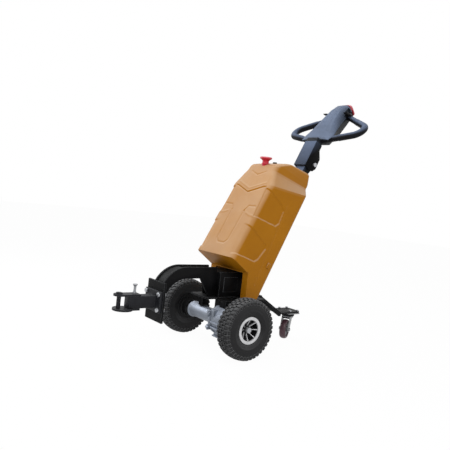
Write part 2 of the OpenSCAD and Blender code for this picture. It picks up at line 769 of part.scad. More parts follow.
// Caster: top plate, bearing housing under the pad, and the king pin that carries the fork
module caster_mount() {
    king_h = fork_crown_t + slack;
    king_head_h = 5;
    king_head_d = 24;
    color("#b9bcc0") placed() translate([caster_x, 0, 0]) {
        span([-caster_plate[0] / 2, -caster_plate[1] / 2, caster_h - caster_plate_t],
            [caster_plate[0] / 2, caster_plate[1] / 2, caster_h]);
        translate([0, 0, fork_top]) cylinder(h = caster_bearing_h + eps, d = caster_bearing_d);
        translate([0, 0, fork_top - king_h - slack]) cylinder(h = king_h + slack + eps, d = king_d);
        translate([0, 0, fork_top - king_h - slack - king_head_h]) cylinder(h = king_head_h, d = king_head_d);
    }
}

module caster_bolts() {
    head_h = 7;
    head_d = 15;
    color("#9da0a5") for (x = [-1, 1], y = [-1, 1])
        placed() translate([caster_x + x * caster_bolt[0] / 2, y * caster_bolt[1] / 2, caster_h + plate_t])
            cylinder(h = head_h, d = head_d, $fn = 6);
}

// Fork: crown plate under the bearing and two arms down to the wheel's axle
module caster_fork() {
    crown_r = 30;
    arm_w = 30;
    crown_top = fork_top - slack;
    color("#c2c5c9") casterward() difference() {
        union() {
            translate([0, 0, crown_top - fork_crown_t]) cylinder(h = fork_crown_t, r = crown_r);
            span([0, -fork_half_in - fork_t, crown_top - fork_crown_t],
                [crown_r, fork_half_in + fork_t, crown_top]);
            for (side = [-1, 1]) translate([0, side * (fork_half_in + fork_t / 2), 0]) slab(fork_t) {
                polygon([[-crown_r / 2, crown_top], [crown_r, crown_top],
                    [caster_trail + arm_w / 2, caster_d / 2], [caster_trail - arm_w / 2, caster_d / 2]]);
                translate([caster_trail, caster_d / 2]) circle(arm_w / 2);
            }
        }
        translate([caster_trail, 0, caster_d / 2]) across(-reach, reach, caster_axle_d + 2 * fit);
        cylinder(h = reach, d = king_d + 2 * fit);
    }
}

module caster_axle() {
    axle_out = fork_half_in + fork_t;
    nut_h = 6;
    nut_d = 17;
    color("#aaadb2") casterward() translate([caster_trail, 0, caster_d / 2]) {
        across(-axle_out, axle_out, caster_axle_d);
        across(-axle_out - nut_h, -axle_out, nut_d);
        across(axle_out, axle_out + nut_h, nut_d);
    }
}

module caster_tread() {
    crown = caster_d / 2;
    half_w = caster_w / 2;
    bore_r = caster_hub_d / 2 + slack / 2;
    color("#5c3b45") casterward() translate([caster_trail, 0, crown]) rotate([90, 0, 0]) rotate_extrude()
        polygon([[bore_r, -half_w + 2], [crown - 6, -half_w], [crown - 2, -half_w + 4], [crown, -half_w + 11],
            [crown, half_w - 11], [crown - 2, half_w - 4], [crown - 6, half_w], [bore_r, half_w - 2]]);
}

module caster_hub() {
    boss_d = 26;
    core_half_w = caster_w / 2 - 6;
    boss_half_w = caster_w / 2 + 2;
    color("#4d4e52") casterward() translate([caster_trail, 0, caster_d / 2]) difference() {
        union() {
            across(-core_half_w, core_half_w, caster_hub_d);
            across(-boss_half_w, boss_half_w, boss_d);
        }
        across(-reach, reach, caster_axle_d + 2 * fit);
    }
}

// Tiller hinge pin, through the column and both cheeks of the sleeve
module hinge_pin() {
    shank = sleeve_half_w + slack;
    color("#b5b8bc") leaned() translate([hinge_depth, 0, hinge_u]) {
        across(-shank, shank, hinge_d);
        across(-shank - pin_head_h, -shank, pin_head_d);
        across(shank, shank + pin_head_h, pin_head_d);
    }
}

// Tiller sleeve: front wall and two cheeks round the column, closed behind higher up
module tiller_sleeve() {
    cheek = [[sleeve_front, sleeve_low], [sleeve_back - 2, sleeve_low - 6], [sleeve_rear - 8, sleeve_low + 2],
        [sleeve_rear + 6, hinge_u - 12], [sleeve_rear + 4, hinge_u + 46], [sleeve_back, sleeve_top - 30],
        [sleeve_back, sleeve_top], [sleeve_front, sleeve_top]];
    color("#3c3f46") leaned() difference() {
        slab(2 * sleeve_half_w) polygon(cheek);
        span([sleeve_front + sleeve_wall, -sleeve_half_w + sleeve_wall, 0],
            [reach, sleeve_half_w - sleeve_wall, sleeve_open]);
        span([sleeve_front + sleeve_wall, -sleeve_half_w + sleeve_wall, sleeve_open - eps],
            [sleeve_back - sleeve_wall, sleeve_half_w - sleeve_wall, sleeve_top - sleeve_wall]);
        translate([hinge_depth, 0, hinge_u]) across(-reach, reach, hinge_d + 2 * fit);
    }
}

// Sections of the head, wide in front and narrow behind:
// station, half width, height of the edge and of the crown
head_stations = [[-26, 92, 14, 24], [14, 100, 14, 34], [70, 80, 16, 50], [130, 58, 18, 62],
    [200, 42, 20, 70], [245, 34, 20, 64], [head_l - 1, 28, 18, 38]];

// Outline of the head, shrunk by an inset
module head_outline(inset) {
    last = len(head_stations) - 1;
    front_inset = [for (i = [0:last]) i == 0 ? inset : 0];
    polygon(concat(
        [for (i = [0:last]) [head_stations[i][0] + front_inset[i], inset - head_stations[i][1]]],
        [for (i = [last:-1:0]) [head_stations[i][0] + front_inset[i], head_stations[i][1] - inset]]));
}

// Lower half of the head, with the neck that takes the sleeve's end
module head_housing() {
    socket_half_w = sleeve_half_w - 3;
    socket_h = 24;
    housing_in = 8;
    belly_end = 120;
    color("#2e3036") difference() {
        union() {
            headed() difference() {
                translate([0, 0, housing_low]) linear_extrude(shell_low - housing_low)
                    head_outline(housing_in);
                slab(reach) polygon([[belly_end, housing_low - eps], [head_l, button_low],
                    [head_l, housing_low - eps]]);
            }
            leaned() span([sleeve_front + 2, -socket_half_w, sleeve_top],
                [sleeve_back, socket_half_w, sleeve_top + socket_h]);
        }
        headed() span([-reach, -reach, shell_low], [reach, reach, reach]);
        bow_path(bow_d + 2 * slack);
    }
}

// One thin section of the head's domed shell
module shell_section(s) {
    rise = s[3] - s[2];
    half = [[s[1], shell_low], [s[1], s[2]], [0.8 * s[1], s[2] + 0.5 * rise],
        [0.45 * s[1], s[2] + 0.86 * rise]];
    last = len(half) - 1;
    translate([s[0], 0, 0]) rotate([90, 0, 90]) linear_extrude(1)
        polygon(concat(half, [[0, s[3]]], [for (i = [last:-1:0]) [-half[i][0], half[i][1]]]));
}

// Upper shell of the head, domed towards its end and bored for the paddles' cross shaft
module head_shell() {
    color("#4b4f58") difference() {
        headed() for (i = [0:len(head_stations) - 2]) hull() {
            shell_section(head_stations[i]);
            shell_section(head_stations[i + 1]);
        }
        bow_path(bow_d + 2 * slack);
        headed() translate([paddle_s, 0, paddle_n]) across(-reach, reach, paddle_shaft_d + 2 * slack);
    }
}

// The bow handle's middle line, as tubes of a given diameter, a little slimmer beside the padded bends
module bow_path(d) {
    front_run = (bow_bend_y + bow_bend_r * sin(bow_sweep) - bow_inner_y) / cos(bow_sweep);
    rear_run = (bow_bend_y + bow_bend_r * sin(bow_back) - bow_inner_y) / cos(bow_back);
    headed() for (side = [0, 1]) mirror([0, side, 0]) translate([bow_bend_s, bow_bend_y, 0]) {
        rotate([0, 0, bow_back]) rotate_extrude(angle = 180 - bow_sweep - bow_back)
            translate([bow_bend_r, 0]) circle(d = d);
        rotate([0, 0, 180 - bow_sweep]) translate([bow_bend_r, 0, 0])
            across(-bow_lap, front_run, d - bow_step);
        rotate([0, 0, bow_back]) translate([bow_bend_r, 0, 0]) across(-rear_run, bow_lap, d - bow_step);
    }
}

module bow_handle() { color("#3d4047") bow_path(bow_d); }

// Red end button that reverses the tug when it is pressed
module end_button() {
    color("#d0353b") headed()
        span([head_l, -button_half_w, button_low], [head_l + button_l, button_half_w, button_top]);
}

// Thumb paddles on both ends of a cross shaft in the head
module thumb_paddles() {
    paddle_in = 50;
    paddle_out = 78;
    drum_d = 10;
    wing_l = 26;
    wing_low = -2;
    wing_top = 9;
    color("#1a1b1e") headed() translate([paddle_s, 0, paddle_n]) {
        across(-paddle_out, paddle_out, paddle_shaft_d);
        for (side = [0, 1]) mirror([0, side, 0]) {
            across(paddle_in, paddle_out, drum_d);
            span([-wing_l, paddle_in, wing_low], [0, paddle_out, wing_top]);
        }
    }
}

base_plate();
chassis_box();
gooseneck_left();
gooseneck_right();
gooseneck_web();
hitch_plate();
drawbar();
coupler_plates();
tow_pin();
coupler_knob();
hitch_bolts();
transaxle_housing();
axle_shafts();
drive_motor();
axle_saddles();
tiller_column();
cover();
battery();
estop_base();
estop_button();
key_switch();
cover_latches();
tyre_left();
rim_left();
hub_left();
tyre_right();
rim_right();
hub_right();
caster_mount();
caster_bolts();
caster_fork();
caster_axle();
caster_tread();
caster_hub();
hinge_pin();
tiller_sleeve();
head_housing();
head_shell();
bow_handle();
end_button();
thumb_paddles();
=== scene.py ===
"""Looks of the walk-behind electric tug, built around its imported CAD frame.

Pieces are modelled in millimetres in the frame of what carries them, then placed
in the part's frame in metres.
"""

import json
import math

import bmesh
import bpy
import numpy as np
from mathutils import Matrix, Vector, kdtree


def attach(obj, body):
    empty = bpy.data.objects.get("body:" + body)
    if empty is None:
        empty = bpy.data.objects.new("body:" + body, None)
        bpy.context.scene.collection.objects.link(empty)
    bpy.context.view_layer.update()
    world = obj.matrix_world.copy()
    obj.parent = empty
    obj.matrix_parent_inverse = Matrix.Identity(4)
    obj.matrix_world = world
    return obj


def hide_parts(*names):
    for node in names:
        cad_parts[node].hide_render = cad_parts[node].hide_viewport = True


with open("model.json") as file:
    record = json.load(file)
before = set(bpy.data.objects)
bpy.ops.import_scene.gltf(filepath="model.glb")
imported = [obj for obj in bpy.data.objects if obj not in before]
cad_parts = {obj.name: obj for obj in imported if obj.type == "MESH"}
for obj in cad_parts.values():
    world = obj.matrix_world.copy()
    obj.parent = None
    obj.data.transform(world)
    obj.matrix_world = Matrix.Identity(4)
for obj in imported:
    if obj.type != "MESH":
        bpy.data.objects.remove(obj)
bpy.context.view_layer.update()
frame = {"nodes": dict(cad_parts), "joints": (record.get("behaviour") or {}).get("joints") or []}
nodes = frame["nodes"]
joints = {joint["name"]: joint for joint in frame["joints"]}

# Places in millimetres: the axle ahead of the datum on the floor, the lean's foot and the caster's swivel
# from the datum, and the head's start along the lean
AXLE_AHEAD = 12
LEAN_FOOT = (122, 0, 243)
SWIVEL_PLACE = (491.5, 0, 0)
HEAD_START = (35, 0, 931)
LEAN = math.radians(26.5)
HEAD_PITCH = math.radians(40)
CASTER_TURN = math.radians(-149.5)

# Turns and mirrors of what is modelled upright or on one side
Z_TO_Y = Matrix.Rotation(-math.pi / 2, 4, "X")
Z_TO_X = Matrix.Rotation(math.pi / 2, 4, "Y")
MIRROR_Y = Matrix.Scale(-1, 4, (0, 1, 0))
BOTH_SIDES = (MIRROR_Y, Matrix.Identity(4))

# Frames of the pieces: each takes millimetres to the part's frame
IN_MM = Matrix.Scale(0.001, 4)
DATUM = joints["wheel_left_spin"]["pos_m"][0] + AXLE_AHEAD / 1000
FLOOR_FRAME = Matrix.Translation((DATUM, 0, 0)) @ IN_MM
LEAN_FRAME = FLOOR_FRAME @ Matrix.Translation(LEAN_FOOT) @ Matrix.Rotation(LEAN, 4, "Y")
HEAD_FRAME = LEAN_FRAME @ Matrix.Translation(HEAD_START) @ Matrix.Rotation(-HEAD_PITCH - LEAN, 4, "Y")
SWIVEL_FRAME = FLOOR_FRAME @ Matrix.Translation(SWIVEL_PLACE)
CASTER_FRAME = SWIVEL_FRAME @ Matrix.Rotation(CASTER_TURN, 4, "Z")
# The wheels' z axis points to their outer side
WHEEL_FRAMES = {}
for hand, quarter in (("left", math.pi / 2), ("right", -math.pi / 2)):
    wheel_place = Matrix.Translation(joints[f"wheel_{hand}_spin"]["pos_m"])
    WHEEL_FRAMES[hand] = wheel_place @ IN_MM @ Matrix.Rotation(quarter, 4, "X")


# Modelling tools

# How near doubled points lie, in millimetres while a piece is modelled and in metres once it is placed
MERGE_MM = 0.001
MERGE_M = 1e-6
# Edges that are eased turn by more than this, and on a copied node are longer than this many metres
EASE_ANGLE = math.radians(30)
SHORTEST_EASED = 0.004
FLAT_ANGLE = math.radians(1)
# Sides of a bolt head or nut
HEX = 6


def alone(obj):
    """Selects and activates one object and nothing else."""
    bpy.ops.object.select_all(action="DESELECT")
    obj.select_set(True)
    bpy.context.view_layer.objects.active = obj
    return obj


def titled(name):
    """Names the object that an operator has just made."""
    obj = bpy.context.object
    obj.name = name
    obj.data.name = name
    return obj


def outward(obj, merge=MERGE_MM):
    """Merges doubled points and turns all faces outwards."""
    alone(obj)
    bpy.ops.object.mode_set(mode="EDIT")
    bpy.ops.mesh.select_all(action="SELECT")
    bpy.ops.mesh.remove_doubles(threshold=merge)
    bpy.ops.mesh.normals_make_consistent(inside=False)
    bpy.ops.object.mode_set(mode="OBJECT")
    return obj


def loft(name, rings):
    """A circle moved to the first ring's points, then extruded from ring to ring, with both ends closed."""
    bpy.ops.object.select_all(action="DESELECT")
    bpy.ops.mesh.primitive_circle_add(vertices=len(rings[0]), radius=1, fill_type="NGON")
    obj = titled(name)
    for vertex, point in zip(obj.data.vertices, rings[0]):
        vertex.co = point
    bpy.ops.object.mode_set(mode="EDIT")
    bpy.ops.mesh.select_mode(type="FACE")
    bpy.ops.mesh.select_all(action="SELECT")
    for here, there in zip(rings, rings[1:]):
        bpy.ops.mesh.extrude_region_move()
        tree = kdtree.KDTree(len(here))
        for index, point in enumerate(here):
            tree.insert(point, index)
        tree.balance()
        shape = bmesh.from_edit_mesh(obj.data)
        for vertex in shape.verts:
            if vertex.select:
                vertex.co = there[tree.find(vertex.co)[1]]
        bmesh.update_edit_mesh(obj.data)
    bpy.ops.object.mode_set(mode="OBJECT")
    return outward(obj)


def turned(name, profile, steps):
    """A profile of radius and height pairs, drawn by extruding one point, then spun about the z axis."""
    bpy.ops.object.select_all(action="DESELECT")
    bpy.ops.mesh.primitive_plane_add(size=1)
    obj = titled(name)
    bpy.ops.object.mode_set(mode="EDIT")
    bpy.ops.mesh.select_mode(type="VERT")
    bpy.ops.mesh.select_all(action="SELECT")
    bpy.ops.mesh.merge(type="CENTER")
    bpy.ops.transform.translate(value=(profile[0][0], 0, profile[0][1]))
    for (r0, h0), (r1, h1) in zip(profile, profile[1:]):
        bpy.ops.mesh.extrude_region_move(TRANSFORM_OT_translate={"value": (r1 - r0, 0, h1 - h0)})
    bpy.ops.mesh.select_all(action="SELECT")
    bpy.ops.mesh.spin(steps=steps, angle=2 * math.pi, center=(0, 0, 0), axis=(0, 0, 1))
    bpy.ops.object.mode_set(mode="OBJECT")
    return outward(obj)


def hoop(name, profile, steps):
    """A profile that closes on itself, spun about the z axis, with an open bore."""
    return turned(name, profile + profile[:1], steps)


def plate(name, outline, low, high):
    """A flat outline of x and y points, extruded from one height to another."""
    return loft(name, [[(x, y, low) for x, y in outline], [(x, y, high) for x, y in outline]])


def block(name, low, high):
    """A box between two corners, from the cube primitive."""
    low, high = Vector(low), Vector(high)
    bpy.ops.object.select_all(action="DESELECT")
    bpy.ops.mesh.primitive_cube_add(size=1, location=(low + high) / 2)
    obj = titled(name)
    obj.scale = high - low
    bpy.ops.object.transform_apply(location=True, rotation=True, scale=True)
    return obj


def ease(obj, width, segments=2, shortest=0.0):
    """Bevels the edges that turn sharply and are longer than a given length."""
    alone(obj)
    bpy.ops.object.mode_set(mode="EDIT")
    bpy.ops.mesh.select_mode(type="EDGE")
    bpy.ops.mesh.select_all(action="DESELECT")
    shape = bmesh.from_edit_mesh(obj.data)
    for edge in shape.edges:
        if len(edge.link_faces) == 2 and edge.calc_length() > shortest:
            edge.select_set(edge.calc_face_angle(0) > EASE_ANGLE)
    bmesh.update_edit_mesh(obj.data)
    bpy.ops.mesh.bevel(offset=width, segments=segments, profile=0.5, affect="EDGES", clamp_overlap=True)
    bpy.ops.object.mode_set(mode="OBJECT")
    return obj


def placed(obj, matrix):
    """Puts the mesh where a frame says, with the object left at the origin."""
    alone(obj)
    obj.matrix_world = matrix @ obj.matrix_world
    bpy.ops.object.transform_apply(location=True, rotation=True, scale=True)
    if matrix.determinant() < 0:
        outward(obj, MERGE_M)
    return obj


def joined(first, *others):
    """Joins objects into the first one."""
    alone(first)
    for obj in others:
        obj.select_set(True)
    bpy.ops.object.join()
    return first


def copied(obj, matrix):
    """A copy with its own mesh, moved by a matrix in the frame that it is modelled in."""
    alone(obj)
    bpy.ops.object.duplicate()
    copy = bpy.context.object
    copy.matrix_world = matrix @ copy.matrix_world
    bpy.ops.object.transform_apply(location=True, rotation=True, scale=True)
    return copy


def ring_of(obj, count):
    """A piece repeated evenly about the z axis, joined into one object."""
    others = [copied(obj, Matrix.Rotation(2 * math.pi * i / count, 4, "Z")) for i in range(1, count)]
    return joined(obj, *others)


def cut(obj, cutter):
    """Takes a closed cutter out of an object by an applied Boolean."""
    alone(obj)
    modifier = obj.modifiers.new("cut", "BOOLEAN")
    modifier.object = cutter
    modifier.operation = "DIFFERENCE"
    modifier.solver = "EXACT"
    bpy.ops.object.modifier_apply(modifier=modifier.name)
    bpy.data.objects.remove(cutter)
    return obj


def eased_copy(name, node, width):
    """A copy of a CAD node with merged points, whole faces and soft edges, in metres."""
    obj = bpy.data.objects.new(name, nodes[node].data.copy())
    bpy.context.scene.collection.objects.link(obj)
    alone(obj)
    bpy.ops.object.mode_set(mode="EDIT")
    bpy.ops.mesh.select_all(action="SELECT")
    bpy.ops.mesh.remove_doubles(threshold=MERGE_M)
    bpy.ops.mesh.dissolve_limited(angle_limit=FLAT_ANGLE)
    bpy.ops.object.mode_set(mode="OBJECT")
    return ease(obj, width, shortest=SHORTEST_EASED)


def done(obj, body, finish, stands_for=(), smooth=35):
    """Shades a finished piece, gives it its material and body, and says which CAD nodes it stands for."""
    alone(obj)
    bpy.ops.object.shade_smooth_by_angle(angle=math.radians(smooth))
    obj.data.materials.clear()
    obj.data.materials.append(finish)
    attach(obj, body)
    if stands_for:
        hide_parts(*stands_for)


# Materials

# Most of a noise texture's values lie between these
NOISE_LOW, NOISE_HIGH = 0.3, 0.7
BUMP_STRENGTH = 0.4
# Gains of the mask of worn edges that are also painted edge highlights, and of the noise that breaks it up
EDGE_GAIN, BREAK_GAIN = 9.0, 1.6
# Painted sheen on faces that look up: the normal's height where it starts, how fast it grows, and the least
# of its cloud
SHEEN_START, SHEEN_GAIN, SHEEN_BASE = 0.04, 1.7, 0.5


def new_group(name, inputs, outputs):
    """A shader node group with float inputs and named outputs."""
    group = bpy.data.node_groups.new(name, "ShaderNodeTree")
    for label, value in inputs.items():
        socket = group.interface.new_socket(label, in_out="INPUT", socket_type="NodeSocketFloat")
        socket.default_value = value
    for label in outputs:
        group.interface.new_socket(label, in_out="OUTPUT", socket_type="NodeSocketFloat")
    return group, group.nodes.new("NodeGroupInput"), group.nodes.new("NodeGroupOutput")


def math_node(tree, operation, first, second, clamp=False):
    """A math node whose inputs are sockets or plain numbers."""
    node = tree.nodes.new("ShaderNodeMath")
    node.operation = operation
    node.use_clamp = clamp
    for socket, value in zip(node.inputs, (first, second)):
        if isinstance(value, (int, float)):
            socket.default_value = value
        else:
            tree.links.new(value, socket)
    return node.outputs[0]


def noise_node(tree, scale, detail, roughness=0.55):
    """A noise texture on Object coordinates, with a linked scale."""
    node = tree.nodes.new("ShaderNodeTexNoise")
    node.inputs["Detail"].default_value = detail
    node.inputs["Roughness"].default_value = roughness
    tree.links.new(scale, node.inputs["Scale"])
    place = tree.nodes.new("ShaderNodeTexCoord")
    tree.links.new(place.outputs["Object"], node.inputs["Vector"])
    return node.outputs["Fac"]


def facing_up(tree):
    """How far a face looks up: the height of its normal."""
    geometry = tree.nodes.new("ShaderNodeNewGeometry")
    split = tree.nodes.new("ShaderNodeSeparateXYZ")
    tree.links.new(geometry.outputs["Normal"], split.inputs[0])
    return split.outputs["Z"]


def put_mask(group, given, put, mask):
    """Puts a mask out of a group, times the group's amount."""
    group.links.new(math_node(group, "MULTIPLY", mask, given.outputs["Amount"], True), put.inputs["Mask"])
    return group


def grain_group():
    """Fine surface grain over broad cloudy variation, for tone, gloss and bump."""
    group, given, put = new_group("surface_grain", {"Fine": 900.0, "Broad": 9.0}, ["Grain", "Cloud"])
    group.links.new(noise_node(group, given.outputs["Fine"], 2.0), put.inputs["Grain"])
    group.links.new(noise_node(group, given.outputs["Broad"], 4.0), put.inputs["Cloud"])
    return group


def wear_highlight_group():
    """A mask of worn edges that also stands for painted edge highlights: where a rounded normal leaves the
    true one, broken up by noise.
    """
    group, given, put = new_group("edge_wear_highlight_mask", {"Radius": 0.003, "Amount": 1.0, "Break": 60.0}, ["Mask"])
    bevel = group.nodes.new("ShaderNodeBevel")
    bevel.samples = 4
    group.links.new(given.outputs["Radius"], bevel.inputs["Radius"])
    geometry = group.nodes.new("ShaderNodeNewGeometry")
    dot = group.nodes.new("ShaderNodeVectorMath")
    dot.operation = "DOT_PRODUCT"
    group.links.new(bevel.outputs[0], dot.inputs[0])
    group.links.new(geometry.outputs["Normal"], dot.inputs[1])
    leaves = math_node(group, "SUBTRACT", 1.0, dot.outputs["Value"])
    edge = math_node(group, "MULTIPLY", leaves, EDGE_GAIN, True)
    noise = noise_node(group, given.outputs["Break"], 5.0, 0.7)
    broken = math_node(group, "MULTIPLY", noise, BREAK_GAIN, True)
    return put_mask(group, given, put, math_node(group, "MULTIPLY", edge, broken, True))


def dust_group():
    """A mask of settled dust: what faces up, in soft patches."""
    group, given, put = new_group("settled_dust", {"Amount": 0.3, "Patch": 14.0}, ["Mask"])
    facing = math_node(group, "MULTIPLY", facing_up(group), 1.0, True)
    patch = noise_node(group, given.outputs["Patch"], 5.0, 0.65)
    return put_mask(group, given, put, math_node(group, "MULTIPLY", facing, patch, True))


def painted_sheen_group():
    """A mask of painted sheen: reflected light painted on faces that look up, even and soft, with a little
    cloud in it.
    """
    group, given, put = new_group("painted_sheen_mask", {"Amount": 0.3, "Patch": 7.0}, ["Mask"])
    start = math_node(group, "SUBTRACT", facing_up(group), SHEEN_START)
    rise = math_node(group, "MULTIPLY", start, SHEEN_GAIN, True)
    cloud = math_node(group, "ADD", noise_node(group, given.outputs["Patch"], 3.0), SHEEN_BASE)
    return put_mask(group, given, put, math_node(group, "MULTIPLY", rise, cloud))


GRAIN = grain_group()
# Worn edges, lightened also as painted edge highlights
WORN_LIT_EDGES = wear_highlight_group()
DUST = dust_group()
# Painted sheen: a pale colour on faces that look up, standing for light reflected from above
SHEEN_LAYER = painted_sheen_group()


def use_group(tree, group, **values):
    """Places a node group in a material with its own values."""
    node = tree.nodes.new("ShaderNodeGroup")
    node.node_tree = group
    for label, value in values.items():
        node.inputs[label].default_value = value
    return node


def colour_mix(tree, factor, first, second):
    """A colour mix whose inputs are sockets or plain colours."""
    node = tree.nodes.new("ShaderNodeMix")
    node.data_type = "RGBA"
    tree.links.new(factor, node.inputs[0])
    for socket, value in zip((node.inputs[6], node.inputs[7]), (first, second)):
        if isinstance(value, tuple):
            socket.default_value = (*value, 1)
        else:
            tree.links.new(value, socket)
    return node.outputs[2]


def spread(tree, factor, low, high):
    """Maps the middle of a noise's values to a range."""
    node = tree.nodes.new("ShaderNodeMapRange")
    node.inputs["From Min"].default_value = NOISE_LOW
    node.inputs["From Max"].default_value = NOISE_HIGH
    node.inputs["To Min"].default_value = low
    node.inputs["To Max"].default_value = high
    tree.links.new(factor, node.inputs["Value"])
    return node.outputs["Result"]


def finish(name, dark, light, gloss, fine, broad, bump=0.0002, metallic=0.0, specular=0.5,
           wear_and_highlight=None, dust=None, sheen_paint=None):
    """A surface of two cloudy tones, a roughness range and fine bump, with worn edges that also serve as
    painted edge highlights, dust, and a painted sheen of reflected light on faces that look up, if given.

    The worn and highlighted edges take (colour, radius, amount); dust and the painted sheen take (colour,
    amount).
    """
    material = bpy.data.materials.new(name)
    material.use_nodes = True
    tree = material.node_tree
    shader = tree.nodes["Principled BSDF"]
    shader.inputs["Metallic"].default_value = metallic
    shader.inputs["Specular IOR Level"].default_value = specular
    grain = use_group(tree, GRAIN, Fine=fine, Broad=broad)
    colour = colour_mix(tree, spread(tree, grain.outputs["Cloud"], 0.0, 1.0), dark, light)
    rough = spread(tree, grain.outputs["Cloud"], *gloss)
    # Painted sheen: a pale colour mixed in where faces look up, in place of reflected light
    if sheen_paint:
        pale = use_group(tree, SHEEN_LAYER, Amount=sheen_paint[1])
        colour = colour_mix(tree, pale.outputs["Mask"], colour, sheen_paint[0])
    if dust:
        settled = use_group(tree, DUST, Amount=dust[1])
        colour = colour_mix(tree, settled.outputs["Mask"], colour, dust[0])
    # Worn edges in a lighter colour, partly standing for painted highlights along the edges
    if wear_and_highlight:
        wear_lit_node = use_group(tree, WORN_LIT_EDGES, Radius=wear_and_highlight[1], Amount=wear_and_highlight[2])
        colour = colour_mix(tree, wear_lit_node.outputs["Mask"], colour, wear_and_highlight[0])
    relief = tree.nodes.new("ShaderNodeBump")
    relief.inputs["Strength"].default_value = BUMP_STRENGTH
    relief.inputs["Distance"].default_value = bump
    tree.links.new(grain.outputs["Grain"], relief.inputs["Height"])
    tree.links.new(colour, shader.inputs["Base Color"])
    tree.links.new(rough, shader.inputs["Roughness"])
    tree.links.new(relief.outputs["Normal"], shader.inputs["Normal"])
    return material


STEEL_GREY = (0.20, 0.205, 0.215)
PALE_DUST = (0.22, 0.215, 0.21)
# A painted reflection of a blue-white sky, for dark faces that look up
PAINTED_SKY_REFLECTION = (0.36, 0.46, 0.70)
# The amber's pale faces that look up carry a painted sheen, and its lighter edges are partly painted
# highlights
AMBER = finish("amber_moulding", (0.355, 0.133, 0.0035), (0.40, 0.156, 0.005), (0.38, 0.48),
               fine=700, broad=6, bump=0.00015, specular=0.10,
               wear_and_highlight=((0.62, 0.36, 0.12), 0.003, 0.3), sheen_paint=((0.79, 0.71, 0.585), 0.245))
# The black paint's light edges are partly worn and partly painted edge highlights
BLACK_PAINT = finish("black_paint", (0.0022, 0.0022, 0.0025), (0.0045, 0.0045, 0.005), (0.46, 0.62),
                     fine=500, broad=20, specular=0.09,
                     wear_and_highlight=((0.20, 0.205, 0.22), 0.0022, 0.5), dust=(PALE_DUST, 0.03))
COUPLER_PAINT = finish("coupler_paint", (0.008, 0.008, 0.010), (0.015, 0.0155, 0.019), (0.42, 0.56),
                       fine=400, broad=26, bump=0.0003, specular=0.16,
                       wear_and_highlight=(STEEL_GREY, 0.002, 0.45), dust=(PALE_DUST, 0.1))
ZINC = finish("zinc_plate", (0.36, 0.37, 0.39), (0.48, 0.49, 0.51), (0.28, 0.42),
              fine=300, broad=30, bump=0.0001, metallic=0.85)
DULL_ZINC = finish("dull_zinc", (0.20, 0.205, 0.21), (0.29, 0.295, 0.30), (0.38, 0.52),
                   fine=300, broad=30, metallic=0.8)
# The casing's blue-white tone on faces that look up is a painted highlight
CAST_ALLOY = finish("cast_alloy", (0.17, 0.19, 0.225), (0.24, 0.265, 0.31), (0.34, 0.50),
                    fine=420, broad=22, bump=0.0004, metallic=0.35,
                    dust=(PALE_DUST, 0.06), sheen_paint=((0.66, 0.72, 0.85), 0.55))
RIM_SILVER = finish("rim_silver", (0.52, 0.52, 0.53), (0.66, 0.66, 0.67), (0.28, 0.40),
                    fine=500, broad=30, bump=0.0001, metallic=0.5)
RUBBER = finish("tyre_rubber", (0.0085, 0.0085, 0.009), (0.015, 0.015, 0.0157), (0.56, 0.74),
                fine=380, broad=26, bump=0.0003, specular=0.2,
                wear_and_highlight=((0.15, 0.15, 0.155), 0.0028, 0.95), dust=((0.22, 0.22, 0.225), 0.85))
# Near-black paint; the slate-blue of its faces that look up is a painted sky reflection
SLATE_PAINT = finish("slate_paint", (0.002, 0.002, 0.0023), (0.0035, 0.0036, 0.004), (0.40, 0.52),
                     fine=600, broad=14, bump=0.00015, specular=0.05,
                     wear_and_highlight=(STEEL_GREY, 0.002, 0.2), sheen_paint=(PAINTED_SKY_REFLECTION, 0.27))
# The blue tone of the head top's faces that look up is a painted sky reflection
SLATE_MOULDING = finish("slate_moulding", (0.022, 0.028, 0.036), (0.032, 0.039, 0.050), (0.40, 0.52),
                        fine=1100, broad=12, bump=0.0003, specular=0.16, sheen_paint=(PAINTED_SKY_REFLECTION, 0.26))
DARK_MOULDING = finish("dark_moulding", (0.010, 0.012, 0.015), (0.016, 0.019, 0.024), (0.42, 0.55),
                       fine=1100, broad=12, bump=0.0003, specular=0.12)
# The blue tone of the grips' faces that look up is a painted sky reflection
GRIP = finish("grip_moulding", (0.0045, 0.0047, 0.0065), (0.008, 0.0083, 0.011), (0.44, 0.58),
              fine=1200, broad=16, bump=0.0003, specular=0.09, sheen_paint=(PAINTED_SKY_REFLECTION, 0.24))
BLACK_MOULDING = finish("black_moulding", (0.005, 0.005, 0.0055), (0.009, 0.009, 0.0095), (0.38, 0.5),
                        fine=1100, broad=20, specular=0.2)
# The pink on the red parts' faces that look up is a painted highlight
RED_MOULDING = finish("red_moulding", (0.45, 0.012, 0.028), (0.54, 0.020, 0.040), (0.30, 0.40),
                      fine=800, broad=18, bump=0.0001, specular=0.3, sheen_paint=((0.95, 0.66, 0.70), 0.5))
MAROON = finish("maroon_tread", (0.045, 0.016, 0.024), (0.070, 0.024, 0.036), (0.42, 0.55),
                fine=500, broad=24)
CORE_GREY = finish("core_grey", (0.09, 0.09, 0.095), (0.13, 0.13, 0.135), (0.45, 0.6), fine=600, broad=24)
HUB_PAINT = finish("hub_paint", (0.005, 0.005, 0.0055), (0.009, 0.009, 0.0098), (0.45, 0.6),
                   fine=500, broad=24, specular=0.15, wear_and_highlight=(STEEL_GREY, 0.002, 0.25))


# Cover

# Points in each stretch of a section: half the front, a front corner, a side, a rear corner and the rear
FRONT_STEPS = 24
FRONT_CORNER_STEPS = 7
SIDE_STEPS = 42
REAR_CORNER_STEPS = 5
REAR_STEPS = 14


